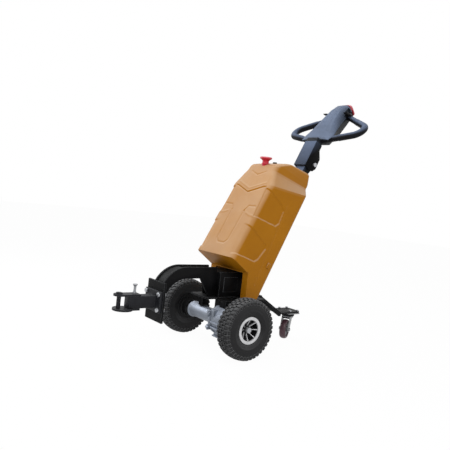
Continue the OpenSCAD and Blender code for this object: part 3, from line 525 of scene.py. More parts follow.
def section_ring(front, rear, half_w, front_r, rear_r, front_u, rear_u):
    """Points round one section of the cover, from the middle of its front, as many on every section."""
    points = []

    def run(start, end, count):
        for i in range(count):
            points.append(tuple(a + (b - a) * i / count for a, b in zip(start, end)))

    def arc(cx, cy, radius, start, count):
        for i in range(count):
            angle = start + math.pi / 2 * i / count
            points.append((cx + radius * math.cos(angle), cy + radius * math.sin(angle)))

    wide, narrow = half_w - front_r, half_w - rear_r
    run((front, 0), (front, -wide), FRONT_STEPS)
    arc(front + front_r, -wide, front_r, math.pi, FRONT_CORNER_STEPS)
    run((front + front_r, -half_w), (rear - rear_r, -half_w), SIDE_STEPS)
    arc(rear - rear_r, -narrow, rear_r, 1.5 * math.pi, REAR_CORNER_STEPS)
    run((rear, -narrow), (rear, narrow), REAR_STEPS)
    arc(rear - rear_r, narrow, rear_r, 0, REAR_CORNER_STEPS)
    run((rear - rear_r, half_w), (front + front_r, half_w), SIDE_STEPS)
    arc(front + front_r, wide, front_r, math.pi / 2, FRONT_CORNER_STEPS)
    run((front, wide), (front, 0), FRONT_STEPS)
    return [(x, y, front_u + (rear_u - front_u) * (x - front) / (rear - front)) for x, y in points]


# Front depth, rear depth, half width, front and rear corner radius, height at the front and at the rear
COVER_SECTIONS = [
    (-242, 16, 142, 22, 22, -60, -60),
    (-225.4, 13.1, 142, 22, 22, 478, 561),
    (-224.8, 13.6, 140.6, 22, 22, 490, 574),
    (-220.8, 23.6, 108.5, 22, 22, 560, 611),
    (-219.4, 25.3, 103.7, 22, 22, 574, 620),
    (-216.0, 26.8, 102.3, 22, 20, 600, 633),
    (-208, 25.6, 101.5, 22, 20, 614, 643),
    (-180, 18.3, 99.6, 22, 19, 635.5, 665),
    (-154, 11, 97.6, 22, 18, 654.5, 686),
    (-141, 6, 94, 21, 18, 661.5, 693.5),
    (-126, -6, 82, 18, 16, 666.5, 696.5),
    (-108, -22, 58, 14, 12, 670, 698),
]
HALF_W_COLUMN, FRONT_U_COLUMN = 2, 5
FOOT_FRONT, FOOT_HALF_W, FOOT_CORNER, FOOT_U = (COVER_SECTIONS[0][i] for i in (0, 2, 3, 5))
FRONT_SLOPE = 17 / 549
RING_STEP = 6.0
SHOULDER_SHARE = 0.8


def cover_rings():
    """Rings of the cover, about evenly spaced along its lean and over its shoulders."""
    rings = []
    for low, high in zip(COVER_SECTIONS, COVER_SECTIONS[1:]):
        rise = high[FRONT_U_COLUMN] - low[FRONT_U_COLUMN]
        narrowing = abs(low[HALF_W_COLUMN] - high[HALF_W_COLUMN])
        count = max(1, round(max(rise, SHOULDER_SHARE * narrowing) / RING_STEP))
        for i in range(count):
            rings.append(section_ring(*(a + (b - a) * i / count for a, b in zip(low, high))))
    rings.append(section_ring(*COVER_SECTIONS[-1]))
    return rings


# Relief of the cover, as distance round from the middle of the front and height along the lean
UPPER_PANEL = [(114, 473), (252, 448), (272, 431), (282, 365), (269, 344), (125, 319)]
LOWER_PANEL = [(66, 282), (114, 274), (160, 266), (273, 242), (281, 225), (268, 162), (254, 144), (108, 121)]
UPPER_SILL = [(68, 332), (96, 322), (125, 319)]
CHEVRON = [(112, 482), (96, 482), (0, 446)]
SMALL_CHEVRON = [(52, 566), (0, 545)]
SECOND_CHEVRON = [(107, 370), (62, 369), (45, 341)]
TONGUE = [(45, 341), (41, 182), (23, 162), (0, 162)]
SEAM = [(322, 54), (309, 172), (278, 473)]
# Depth of the panels, the width of their edge, and where and how slowly the lower one starts at the front
PANEL_DEPTH = 4.5
PANEL_EDGE = 6.0
LOWER_START, LOWER_FADE = 84, 60
SILL_RISE, SILL_W = 1.4, 5.0
# The field above the chevron: its rise, the width of its edge, and how it dies away upwards and to the sides
FIELD_RISE = 2.6
FIELD_EDGE = 5.0
FIELD_FALL = 60
FIELD_SIDE, FIELD_SIDE_FADE = 112, 14
FIELD_TOP, FIELD_TOP_FADE = 575, 30
# The groove just under the chevron, and the bead above it
UNDER_DROP, UNDER_DEPTH, UNDER_W = 3.0, 1.6, 3.2
UNDER_SIDE, UNDER_SIDE_FADE = 118, 10
BEAD_LIFT, BEAD_RISE, BEAD_W, BEAD_SIDE = 19, 1.4, 4.2, 100
# Line, depth and width of each groove
GROOVES = [(SMALL_CHEVRON, 2.0, 3.4), (SECOND_CHEVRON, 2.0, 3.8), (TONGUE, 1.9, 3.8), (SEAM, 1.2, 3.0)]


def smooth_step(x):
    """A soft step from 0 to 1."""
    x = np.clip(x, 0, 1)
    return x * x * (3 - 2 * x)


def bead(gap, height, width):
    """A rounded ridge, by the distance to its middle."""
    return height * np.exp(-((gap / width) ** 2))


def line_distance(q, u, points):
    """Distance of each point to a row of straight lines, and on which side of the nearest it lies."""
    best = np.full(q.shape, np.inf)
    side = np.zeros(q.shape)
    for (q0, u0), (q1, u1) in zip(points, points[1:]):
        dq, du = q1 - q0, u1 - u0
        t = np.clip(((q - q0) * dq + (u - u0) * du) / (dq * dq + du * du), 0, 1)
        gap = np.hypot(q - q0 - t * dq, u - u0 - t * du)
        across = (q - q0) * du - (u - u0) * dq
        side = np.where(gap < best, np.sign(across), side)
        best = np.minimum(best, gap)
    return best, side


def inside_depth(q, u, corners):
    """Signed distance into a polygon: positive inside."""
    gap, _ = line_distance(q, u, corners + corners[:1])
    inside = np.zeros(q.shape, bool)
    for (q0, u0), (q1, u1) in zip(corners, corners[1:] + corners[:1]):
        if u0 == u1:
            continue
        crosses = (u0 > u) != (u1 > u)
        inside ^= crosses & (q < (q1 - q0) * (u - u0) / (u1 - u0) + q0)
    return np.where(inside, gap, -gap)


def round_distance(co):
    """Distance round the cover from the middle of its front, about the same on every ring."""
    front = FOOT_FRONT + (co[:, 2] - FOOT_U) * FRONT_SLOPE
    flat = FOOT_HALF_W - FOOT_CORNER
    side_start = flat + FOOT_CORNER * math.pi / 2
    depth = co[:, 0] - front
    y = np.abs(co[:, 1])
    angle = np.arctan2(np.maximum(FOOT_CORNER - depth, 0), np.maximum(y - flat, 1e-6))
    on_corner = flat + FOOT_CORNER * (math.pi / 2 - angle)
    return np.where(depth >= FOOT_CORNER, side_start + depth - FOOT_CORNER, np.where(y <= flat, y, on_corner))


def cover_relief(co):
    """How far each point of the cover stands out: panels, chevrons, the front tongue and the side seams."""
    q, u = round_distance(co), co[:, 2]
    out = np.zeros(len(co))
    out -= PANEL_DEPTH * smooth_step(inside_depth(q, u, UPPER_PANEL) / PANEL_EDGE + 0.5)
    lower = PANEL_DEPTH * smooth_step(inside_depth(q, u, LOWER_PANEL) / PANEL_EDGE + 0.5)
    out -= lower * smooth_step((q - LOWER_START) / LOWER_FADE)
    out += bead(line_distance(q, u, UPPER_SILL)[0], SILL_RISE, SILL_W)
    gap, side = line_distance(q, u, CHEVRON)
    above = np.where(side > 0, gap, -gap)
    field = smooth_step(above / FIELD_EDGE + 0.5) * smooth_step((FIELD_SIDE - q) / FIELD_SIDE_FADE)
    field *= smooth_step((FIELD_TOP - u) / FIELD_TOP_FADE)
    out += FIELD_RISE * field * np.exp(-np.clip(above, 0, None) / FIELD_FALL)
    under = bead(above + UNDER_DROP, UNDER_DEPTH, UNDER_W)
    out -= under * smooth_step((UNDER_SIDE - q) / UNDER_SIDE_FADE)
    lifted = [(a, b + BEAD_LIFT) for a, b in CHEVRON]
    out += bead(line_distance(q, u, lifted)[0], BEAD_RISE, BEAD_W) * (q < BEAD_SIDE)
    for points, depth, width in GROOVES:
        out -= bead(line_distance(q, u, points)[0], depth, width)
    return out


# What is cut from the cover: x and z points of its underside, then two corners of each block
UNDER_OUTLINE = [(-500, -300), (-500, 756.6), (55, 368), (55, 243.5), (700, 243.5), (700, -300)]
UNDER_REACH = 200
LEG_CUT = ((40, -104, 230), (170, 104, 364))
COLUMN_CUT = ((2, -33, -80), (60, 33, 800))


def cover_shell():
    """The amber cover: moulded relief, a slanted underside, open between its legs and round the column."""
    obj = loft("cover_shell", cover_rings())
    alone(obj)
    fine = obj.modifiers.new("fine", "SUBSURF")
    fine.subdivision_type = "SIMPLE"
    fine.levels = fine.render_levels = 1
    bpy.ops.object.modifier_apply(modifier=fine.name)
    count = len(obj.data.vertices)
    co = np.empty(count * 3)
    normal = np.empty(count * 3)
    obj.data.vertices.foreach_get("co", co)
    obj.data.vertices.foreach_get("normal", normal)
    co, normal = co.reshape(-1, 3), normal.reshape(-1, 3)
    obj.data.vertices.foreach_set("co", (co + normal * cover_relief(co)[:, None]).ravel())
    obj.data.update()
    placed(obj, LEAN_FRAME)
    under = plate("under_cut", [(x, -z) for x, z in UNDER_OUTLINE], -UNDER_REACH, UNDER_REACH)
    placed(under, FLOOR_FRAME @ Z_TO_Y)
    cut(obj, outward(under, MERGE_M))
    cut(obj, placed(block("leg_cut", *LEG_CUT), FLOOR_FRAME))
    cut(obj, placed(block("column_cut", *COLUMN_CUT), LEAN_FRAME))
    done(obj, "chassis", AMBER, ["cover"], smooth=32)


# Drive wheels

TYRE_R = 138.0
TREAD_HALF_W = 34.5
TREAD_COUNT = 39
CROWN_DROP = 4.5
BLOCK_PART = 0.68
BLOCK_HALF = math.pi * TYRE_R / TREAD_COUNT * BLOCK_PART
BLOCK_HEIGHT = 6.0
BLOCK_DRAFT = 1.1
BLOCK_LEAN = 0.5
BLOCK_SUNK = 1.5
# Rows of tread blocks from the outer side in: edges across the tyre, and the turn of the row in pitches
TREAD_ROWS = [(TREAD_HALF_W, 20.25, 0.0), (16.1, 1.9, 0.5), (-1.9, -16.1, 0.0), (-20.25, -TREAD_HALF_W, 0.5)]
# Sections of a shoulder rib: radius, share of the block's width, and how far out it stands
RIB_ROWS = [(129.0, 0.92, 35.6), (122.0, 0.86, 36.6), (115.0, 0.74, 36.9)]
RIB_DEPTH = 3
RIB_TAPER = 0.9
# Radius and place across the tyre, from the bead up the inner wall to the shoulder
TYRE_WALL = [(53.3, -28.4), (62, -28.7), (65, -30.6), (70, -33), (76, -34.9), (81, -36.1), (83, -37.1),
             (88, -37.3), (90, -36.9), (98, -37.1), (104, -36.6), (112, -35.9), (119, -35.2), (124, -34.9),
             (127.3, -34.4)]
CROWN_PLACES = (-30, -20, -10)


def crown_at(z):
    """Radius of the tread's top at a place across the tyre."""
    return TYRE_R - CROWN_DROP * (z / TREAD_HALF_W) ** 2


def tread_block(name, outer, inner):
    """One tread block on the x axis: a foot let into the crown, sloped sides and eased edges."""
    top = BLOCK_HALF - BLOCK_DRAFT
    foot_ring, top_ring = [], []
    for z, y in ((outer, -1), (outer, 1), (inner, 1), (inner, -1)):
        foot_ring.append((crown_at(z) - BLOCK_HEIGHT - BLOCK_SUNK, y * BLOCK_HALF, z))
        top_ring.append((crown_at(z), y * top, z - math.copysign(BLOCK_LEAN, z)))
    return ease(loft(name, [foot_ring, top_ring]), 0.9, 1)


def shoulder_rib(name, side):
    """A low rib that carries an outer tread block down the tyre's wall."""
    rings = []
    for r, share, out in RIB_ROWS:
        foot = BLOCK_HALF * share
        face = foot * RIB_TAPER
        rings.append([(r, -foot, side * (out - RIB_DEPTH)), (r, foot, side * (out - RIB_DEPTH)),
                      (r, face, side * out), (r, -face, side * out)])
    return ease(loft(name, rings), 0.5, 1)


def wheel_tyre(side):
    """A block-tread tyre: a carcass with bead, rim guard and shoulder, rows of blocks, and shoulder ribs."""
    inner_half = TYRE_WALL + [(crown_at(z) - BLOCK_HEIGHT, z) for z in CROWN_PLACES]
    profile = inner_half + [(r, -z) for r, z in reversed(inner_half)]
    tyre = hoop(f"tread_tyre_{side}", profile, 2 * TREAD_COUNT)
    way = 1 if side == "left" else -1
    pitch = 2 * math.pi / TREAD_COUNT
    blocks = []
    for row, (outer, inner, start) in enumerate(TREAD_ROWS):
        lug = tread_block(f"tread_block_{side}_{row}", outer, inner)
        turn = Matrix.Rotation(way * pitch * (start + BLOCK_PART / 2), 4, "Z")
        if row in (0, len(TREAD_ROWS) - 1):
            joined(lug, shoulder_rib(f"shoulder_rib_{side}_{row}", 1 if outer > 0 else -1))
        blocks.append(ring_of(placed(lug, turn), TREAD_COUNT))
    joined(tyre, *blocks)
    placed(tyre, WHEEL_FRAMES[side])
    done(tyre, f"wheel_{side}", RUBBER, [f"tyre_{side}"], smooth=40)


RIM_STEPS = 96
RIM_RING = [(46.4, 29.0), (47.6, 31.6), (50.5, 33), (58.8, 33), (60.6, 32.2), (61, 30.6), (61, 29.2),
            (54, 28.8), (52.7, 26.0), (52.7, 12), (46.4, 12)]
RIM_BARREL = [(46.2, 11.8), (52.7, 11.8), (52.7, -26.5), (54, -28.8), (61, -29.2), (61, -32), (60, -33),
              (47, -33), (46.2, -32)]
RIM_SPOKES = 8
# Sections of a spoke: radius, lower and upper height, half width
SPOKE_ROWS = [(14, 2.5, 10.0, 2.8), (23, 6, 13.2, 2.3), (34, 12.5, 20.0, 2.0), (43, 18.2, 26.2, 2.6),
              (48.5, 21.5, 30.5, 5.0)]
SPOKE_TAPER = 0.62


def wheel_rim(side):
    """A cast rim: a bright ring, slim spokes that dish in to a sunk hub, and a dark barrel behind, partly
    black paint and partly painted shade in the wells.
    """
    rim = hoop(f"spoked_rim_{side}", RIM_RING, RIM_STEPS)
    rings = []
    for r, low, high, foot in SPOKE_ROWS:
        face = foot * SPOKE_TAPER
        rings.append([(r, -foot, low), (r, foot, low), (r, face, high), (r, -face, high)])
    spoke = ease(loft(f"spoke_{side}", rings), 0.7, 1)
    joined(rim, ring_of(spoke, RIM_SPOKES))
    placed(rim, WHEEL_FRAMES[side])
    done(rim, f"wheel_{side}", RIM_SILVER, [f"rim_{side}"])
    # The barrel's black is partly the wheel's black inner flange and partly painted shade in the deep wells
    barrel = hoop(f"rim_barrel_{side}", RIM_BARREL, RIM_STEPS)
    done(placed(barrel, WHEEL_FRAMES[side]), f"wheel_{side}", HUB_PAINT)


SHAFT_BORE = 12.1
# The drum's wide outer part lines the wheel's wells in dark, partly as painted shade
HUB_DRUM = [(SHAFT_BORE, -77), (30, -77), (33, -75.5), (35, -72), (42, -70), (42, -34), (46, -32), (46, 27.5),
            (45.4, 28.2), (44.8, 27.5), (44.4, 0), (24, -6), (22, -4), (17.5, 6), (16, 11.6),
            (SHAFT_BORE, 12.4)]
HUB_BOLT = [(0, -77.5), (5.5, -77.5), (6, -73), (6, -70), (0, -70)]
HUB_BOLT_R = 36.5
HUB_BOLTS = 4
SHAFT_NUT = [(SHAFT_BORE, 12.6), (14, 12.6), (15, 14.0), (15, 21.0), (13.9, 22.5), (SHAFT_BORE, 22.5)]


def wheel_hub(side):
    """Hub: a dark drum, and a dark liner behind the spokes that is partly painted shade in the wells, with
    bolt heads inside, and the shaft nut outside.
    """
    drum = hoop(f"drive_hub_{side}", HUB_DRUM, 72)
    bolt = ease(turned(f"hub_bolt_{side}", HUB_BOLT, HEX), 0.6, 1)
    placed(bolt, Matrix.Translation((HUB_BOLT_R, 0, 0)))
    joined(drum, ring_of(bolt, HUB_BOLTS))
    placed(drum, WHEEL_FRAMES[side])
    done(drum, f"wheel_{side}", HUB_PAINT, [f"hub_{side}"])
    nut = hoop(f"shaft_nut_{side}", SHAFT_NUT, HEX)
    placed(ease(nut, 0.5, 1), WHEEL_FRAMES[side])
    done(nut, f"wheel_{side}", DULL_ZINC)


# Transaxle

AXLE_FRAME = FLOOR_FRAME @ Matrix.Translation((-AXLE_AHEAD, 0, TYRE_R))
# Radius and place along the axle, from its left end
CASE_PROFILE = [
    (SHAFT_BORE, -160), (37, -160), (39, -158.5), (39, -150), (37, -148), (34.5, -146), (34, -133),
    (56, -130), (60.5, -128), (62, -124), (62, -64.5), (66, -63), (68, -61.5), (68, -52), (66.5, -50.2),
    (57, -49.5), (47, -45), (40, -37), (36, -26), (34.6, -12), (34, 0), (34, 142), (35.5, 146), (38, 148),
    (39, 150), (39, 157.5), (37, 160), (SHAFT_BORE, 160),
]
CASE_BLOCKS = [
    ("foot", (-34, -120, -78), (34, -60, -30)),
    ("foot_flange", (-40, -124, -78), (40, -56, -70)),
    ("top_boss", (-66, -88, 20), (-34, -64, 52)),
    ("ear_boss", (-78, -61, 14), (-50, -50.5, 44)),
    ("low_boss", (-74, -61, -46), (-48, -50.5, -20)),
    ("split_rib", (-68, -126, -12), (-50, -66, -5)),
    ("lower_rib", (-66, -126, -34), (-46, -66, -28)),
]
CASE_BOLT = [(0, -64), (6.5, -64), (7, -61), (7, -47), (6.2, -46), (0, -46)]
CASE_BOLT_PLACES = [(-70, 0, 29), (-70, 0, -33)]


def axle_casing():
    """The cast casing: gear case with flange, bosses, ribs and foot, and a slim tube with collared ends."""
    case = placed(hoop("axle_casing", CASE_PROFILE, 96), Z_TO_Y)
    parts = [ease(block(*row), 3) for row in CASE_BLOCKS]
    for place in CASE_BOLT_PLACES:
        bolt = placed(turned("case_bolt", CASE_BOLT, HEX), Z_TO_Y)
        parts.append(placed(ease(bolt, 0.6, 1), Matrix.Translation(place)))
    joined(case, *parts)
    placed(case, AXLE_FRAME)
    done(case, "chassis", CAST_ALLOY, ["transaxle_housing"])


MOTOR_PLACE = (0, -90, 0)
MOTOR_START = 74
MOTOR_END = 224
# Radius and place along the motor, from inside the gear case to the rear bell
MOTOR_PROFILE = [
    (0, 62.5), (26, 62.5), (26.6, 64), (26.6, MOTOR_START - 2), (40, MOTOR_START), (46.5, MOTOR_START),
    (48, MOTOR_START + 1.5), (48, MOTOR_START + 20), (47, MOTOR_START + 21), (46, MOTOR_START + 22.5),
    (46, MOTOR_END - 34), (47, MOTOR_END - 32.5), (48, MOTOR_END - 31), (48, MOTOR_END - 8),
    (45, MOTOR_END - 3), (40, MOTOR_END - 2.2), (24, MOTOR_END - 2.2), (23, MOTOR_END), (0, MOTOR_END),
]
MOTOR_BOLT = [(0, MOTOR_END - 5), (4.6, MOTOR_END - 5), (4.6, MOTOR_END - 0.4), (4, MOTOR_END),
              (0, MOTOR_END)]
MOTOR_BOLT_R = 34
MOTOR_BOLTS = 4
MOTOR_FIN = ((45, -1.4, MOTOR_START + 26), (47.8, 1.4, MOTOR_END - 37))
MOTOR_FINS = 28


def motor_case():
    """The drive motor: a neck out of the gear case, a finned can between two end bells, and rear bolts."""
    case = turned("motor_case", MOTOR_PROFILE, 72)
    bolt = turned("motor_bolt", MOTOR_BOLT, HEX)
    placed(bolt, Matrix.Translation((MOTOR_BOLT_R, 0, 0)))
    fin = ease(block("motor_fin", *MOTOR_FIN), 0.6, 1)
    joined(case, ring_of(bolt, MOTOR_BOLTS), ring_of(fin, MOTOR_FINS))
    placed(case, AXLE_FRAME @ Matrix.Translation(MOTOR_PLACE) @ Z_TO_X)
    done(case, "chassis", HUB_PAINT, ["drive_motor"])


PLATE_UNDERSIDE = 234.5


def hanger_straps():
    """Straps beside the saddles that tie the gear case and the motor up to the base plate."""
    strap = block("hanger_strap", (-30, -74, 180), (6, -26, PLATE_UNDERSIDE))
    bracket = block("motor_bracket", (6, -112, 188), (74, -56, PLATE_UNDERSIDE))
    joined(ease(strap, 2), ease(bracket, 2))
    done(placed(strap, FLOOR_FRAME), "chassis", BLACK_PAINT)


# Pieces that keep the form of their CAD node, with eased edges

# Piece, node, material, slot, body, and the width of the eased edge in metres
EASED = [
    ("deck_plate", "base_plate", BLACK_PAINT, "black_steel", "chassis", 0.0018),
    ("chassis_housing", "chassis_box", BLACK_PAINT, "black_steel", "chassis", 0.0025),
    ("neck_plate_left", "gooseneck_left", BLACK_PAINT, "black_steel", "chassis", 0.0016),
    ("neck_plate_right", "gooseneck_right", BLACK_PAINT, "black_steel", "chassis", 0.0016),
    ("neck_web", "gooseneck_web", BLACK_PAINT, "black_steel", "chassis", 0.0012),
    ("hitch_face", "hitch_plate", BLACK_PAINT, "black_steel", "chassis", 0.0015),
    ("tow_bar", "drawbar", COUPLER_PAINT, "black_steel", "chassis", 0.0018),
    ("jaw_plates", "coupler_plates", COUPLER_PAINT, "black_steel", "chassis", 0.0015),
    ("jaw_pin", "tow_pin", COUPLER_PAINT, "black_steel", "chassis", 0.0012),
    ("lock_knob", "coupler_knob", ZINC, "zinc", "chassis", 0.0010),
    ("hitch_bolt_heads", "hitch_bolts", ZINC, "zinc", "chassis", 0.0008),
    ("hanger_saddles", "axle_saddles", BLACK_PAINT, "black_steel", "chassis", 0.0015),
    ("column_post", "tiller_column", SLATE_PAINT, "black_steel", "chassis", 0.0030),
    ("latch_pair", "cover_latches", AMBER, "amber_cover", "chassis", 0.0012),
    ("battery_block", "battery", BLACK_MOULDING, "battery_case", "chassis", 0.0040),
    ("caster_top", "caster_mount", DULL_ZINC, "zinc", "chassis", 0.0012),
    ("caster_bolt_heads", "caster_bolts", ZINC, "zinc", "chassis", 0.0008),
    ("caster_fork_legs", "caster_fork", DULL_ZINC, "zinc", "caster_swivel", 0.0010),
    ("caster_axle_bolt", "caster_axle", DULL_ZINC, "zinc", "caster_swivel", 0.0008),
    ("fold_sleeve", "tiller_sleeve", SLATE_PAINT, "slate_paint", "tiller", 0.0030),
    ("fold_pin", "hinge_pin", ZINC, "zinc", "chassis", 0.0012),
]

# CAD nodes that stay, with their materials
KEPT = {
    "axle_shafts": ZINC,
    "caster_tread": MAROON,
    "caster_hub": CORE_GREY,
}


def paint_kept_nodes():
    """Gives the CAD nodes that stay their materials."""
    for name, material in KEPT.items():
        mesh = nodes[name].data
        mesh.materials.clear()
        mesh.materials.append(material)


# Tiller head

# Station along the head, half width, height of the edge and of the crown
HEAD_STATIONS = [(-26, 92, 14, 24), (14, 100, 14, 34), (70, 80, 16, 50), (130, 62, 20, 63), (200, 50, 26, 70),
                 (245, 43, 28, 66), (284, 35, 20, 47)]
SHELL_LOW = 12.0
SHELL_LIP = 2.5
LOW_CORNER = 1.0
HALF_STEPS = 18
# Powers of the dome's curve: the first grows from the blade to the station where the head is narrow
DOME_POWER, DOME_GROWTH, NARROW_STATION = 2.6, 2.0, 200
EDGE_POWER = 0.8
# Facet lines: depth, place and width as shares of the half width, and the stations between which they run
FACET_DEPTH, FACET_PLACE, FACET_W = 2.6, 0.55, 0.06
FACET_START, FACET_END = 20, 230
# The blade's blunt front edge: where it starts, its length, and the share of the crown that it loses
BLUNT_START, BLUNT_LENGTH, BLUNT_LOSS = -18, 8, 0.35
# Stations of the shell's rings, close together at both ends
SHELL_RINGS = np.concatenate([[-26, -24, -20], np.linspace(-14, 264, 43), [268, 271]])
LEVER_POCKET = ((197, 22, -8), (262, 70, 44))


def head_section(s, half_w, edge, crown):
    """One domed section of the head's shell, from its low left corner round over the crown."""
    power = DOME_POWER + DOME_GROWTH * min(1.0, max(0.0, s / NARROW_STATION))
    points = [(s, -half_w + LOW_CORNER, SHELL_LOW), (s, -half_w, SHELL_LOW + LOW_CORNER)]
    for i in range(-HALF_STEPS, HALF_STEPS + 1):
        x = math.sin(math.pi / 2 * i / HALF_STEPS)
        rise = (1 - abs(x) ** power) ** EDGE_POWER
        facet = 0.0
        if FACET_START < s < FACET_END:
            facet = FACET_DEPTH * math.exp(-(((abs(x) - FACET_PLACE) / FACET_W) ** 2))
        lip = SHELL_LIP if abs(x) == 1 else 0
        points.append((s, x * (half_w - lip), edge + rise * (crown - edge) - facet))
    return points + [(s, half_w, SHELL_LOW + LOW_CORNER), (s, half_w - LOW_CORNER, SHELL_LOW)]


def head_top():
    """The head's upper shell: a blade that narrows and domes towards its end, with pockets for the levers."""
    stations = np.array(HEAD_STATIONS, float)
    rings = []
    for s in SHELL_RINGS:
        half_w, edge, crown = (float(np.interp(s, stations[:, 0], stations[:, i])) for i in (1, 2, 3))
        blunt = 1 - BLUNT_LOSS * max(0.0, (BLUNT_START - s) / BLUNT_LENGTH)
        rings.append(head_section(float(s), half_w, edge, float(edge + (crown - edge) * blunt)))
    shell = loft("head_upper", rings)
    for side in BOTH_SIDES:
        pocket = placed(ease(block("lever_pocket", *LEVER_POCKET), 7, 3), side)
        cut(shell, outward(pocket))
    placed(shell, HEAD_FRAME)
    done(shell, "tiller", SLATE_MOULDING, ["head_shell"], smooth=32)


# Station along the head, half width at the top and at the bottom, height of the bottom
HOUSING_ROWS = [(-17, 83, 52, -20), (6, 90, 52, -38), (14, 92, 50, -42), (70, 72, 44, -43),
                (120, 54, 40, -43), (200, 42, 34, -33), (245, 34, 29, -28), (283.8, 27, 24, -24)]
HOUSING_TOP = 11.6
HOUSING_WAIST = 3.0
NECK = ((-6, -38, 894), (42, 38, 918))


def head_lower():
    """The head's lower half: its sides draw in to a narrow belly, with a neck that takes the sleeve's end."""
    rings = []
    for s, top_w, low_w, low in HOUSING_ROWS:
        middle_w = low_w + 0.5 * (top_w - low_w)
        side = [(top_w, HOUSING_TOP), (top_w, HOUSING_WAIST), (middle_w, 0.5 * low), (low_w, low)]
        rings.append([(s, y, n) for y, n in side] + [(s, -y, n) for y, n in reversed(side)])
    belly = placed(ease(loft("head_lower", rings), 3), HEAD_FRAME)
    joined(belly, placed(ease(block("neck", *NECK), 3), LEAN_FRAME))
    done(belly, "tiller", DARK_MOULDING, ["head_housing"])


# Sections of the end button: station, half width, lower and upper height
BUTTON_ROWS = [(270.5, 37, 12.5, 54), (277, 36, 12.5, 51), (283.6, 35, 12.5, 48), (284.3, 33, -21, 47.4),
               (291, 32, -23.6, 44), (295.5, 30, -22.6, 40), (297.3, 27, -20.5, 37), (298, 22, -16.5, 32)]
BUTTON_STEPS = 32
BUTTON_POWER = 0.45


def round_ring(s, half_w, low, high):
    """A rounded box section of the head's end, across the head at a station."""
    middle, half_h = (low + high) / 2, (high - low) / 2
    points = []
    for i in range(BUTTON_STEPS):
        angle = 2 * math.pi * (i + 0.5) / BUTTON_STEPS
        y, n = (math.copysign(abs(x) ** BUTTON_POWER, x) for x in (math.cos(angle), math.sin(angle)))
        points.append((s, half_w * y, middle + half_h * n))
    return points


def reverse_button():
    """The red cap on the head's end: it runs on from the shell's crown and rounds over to its push face."""
    cap = placed(loft("reverse_button", [round_ring(*row) for row in BUTTON_ROWS]), HEAD_FRAME)
    done(cap, "tiller", RED_MOULDING, ["end_button"], smooth=40)


# The bow's bend: its middle, its radius, and the angles at which it starts and ends
BEND_S, BEND_Y, BEND_R = 83.0, 187.0, 49.0
BEND_START, BEND_END = math.radians(31), math.radians(163.5)
BEND_STEPS = 18
TUBE_R, GRIP_EDGE_R, GRIP_R = 15.4, 17.0, 17.2
TUBE_SIDES = 28
# Station, place across the head and radius of the straight stretches before and after the bend
REAR_ARM = [(238.1, 24.0, TUBE_R), (186.0, 110.7, TUBE_R), (172.0, 134.0, TUBE_R),
            (170.5, 136.5, GRIP_EDGE_R)]
FRONT_ARM = [(14.6, 128.6, GRIP_EDGE_R), (13.9, 126.2, TUBE_R), (-1.5, 74.3, TUBE_R), (-16.4, 24.0, TUBE_R)]


def bow_handle():
    """The bow: a tube from the head's sides round both bends, thicker at its soft grips."""
    path = list(REAR_ARM)
    for i in range(BEND_STEPS + 1):
        angle = BEND_START + (BEND_END - BEND_START) * i / BEND_STEPS
        path.append((BEND_S + BEND_R * math.cos(angle), BEND_Y + BEND_R * math.sin(angle), GRIP_R))
    path += FRONT_ARM
    rings = []
    for i, (s, y, radius) in enumerate(path):
        before, after = path[max(0, i - 1)], path[min(len(path) - 1, i + 1)]
        run = Vector((after[0] - before[0], after[1] - before[1], 0)).normalized()
        aside = Vector((-run.y, run.x, 0))
        ring = []
        for k in range(TUBE_SIDES):
            angle = 2 * math.pi * k / TUBE_SIDES
            rise = Vector((0, 0, radius * math.sin(angle)))
            ring.append(Vector((s, y, 0)) + aside * radius * math.cos(angle) + rise)
        rings.append(ring)
    bow = loft("bow_grip", rings)
    joined(bow, outward(copied(bow, MIRROR_Y)))
    done(placed(bow, HEAD_FRAME), "tiller", GRIP, ["bow_handle"], smooth=40)


LEVER_PLACE = (215, 0, 21)
LEVER_SHAFT = [(0, -78), (3.6, -78), (4, -77.4), (4, 77.4), (3.6, 78), (0, 78)]
LEVER_DRUM = [(0, 44), (7, 44), (8, 45.2), (8, 76.5), (7, 78), (0, 78)]
# Sections of a wing: station, lower and upper height, inner and outer edge
WING_ROWS = [(2, -5, 8, 53, 80), (-10, 4, 15, 53, 84), (-22, 18, 27, 54, 86), (-32, 30, 36, 57, 84)]


def thumb_levers():
    """A butterfly throttle: a cross shaft with a drum and a raised wing at each end."""
    shaft = placed(turned("thumb_levers", LEVER_SHAFT, 32), Z_TO_Y)
    parts = []
    for side in BOTH_SIDES:
        drum = placed(turned("lever_drum", LEVER_DRUM, 32), Z_TO_Y)
        rings = []
        for s, low, high, inner, outer in WING_ROWS:
            rings.append([(s, inner, low), (s, outer, low), (s, outer, high), (s, inner, high)])
        joined(drum, ease(loft("lever_wing", rings), 2))
        parts.append(outward(placed(drum, side)))
    joined(shaft, *parts)
    placed(shaft, HEAD_FRAME @ Matrix.Translation(LEVER_PLACE))
    done(shaft, "tiller", BLACK_MOULDING, ["thumb_paddles"])


# Caster trim

GUARD_BORE = 31.1
GUARD = [(GUARD_BORE, 116.8), (32.5, 116.8), (34, 118.5), (34, 129), (33, 131.5), (GUARD_BORE, 131.5)]
APRON = ((-27, -18.6, 102.5), (27, 18.6, 110.6))


def swivel_guard():
    """A dark ring round the caster's swivel bearing."""
    guard = hoop("swivel_guard", GUARD, 48)
    done(placed(guard, SWIVEL_FRAME), "chassis", HUB_PAINT)


def fork_apron():
    """A folded apron under the fork's crown, clear of the wheel's top."""
    apron = ease(block("fork_apron", *APRON), 1.5)
    done(placed(apron, CASTER_FRAME), "caster_swivel", HUB_PAINT)


# Controls on the cover

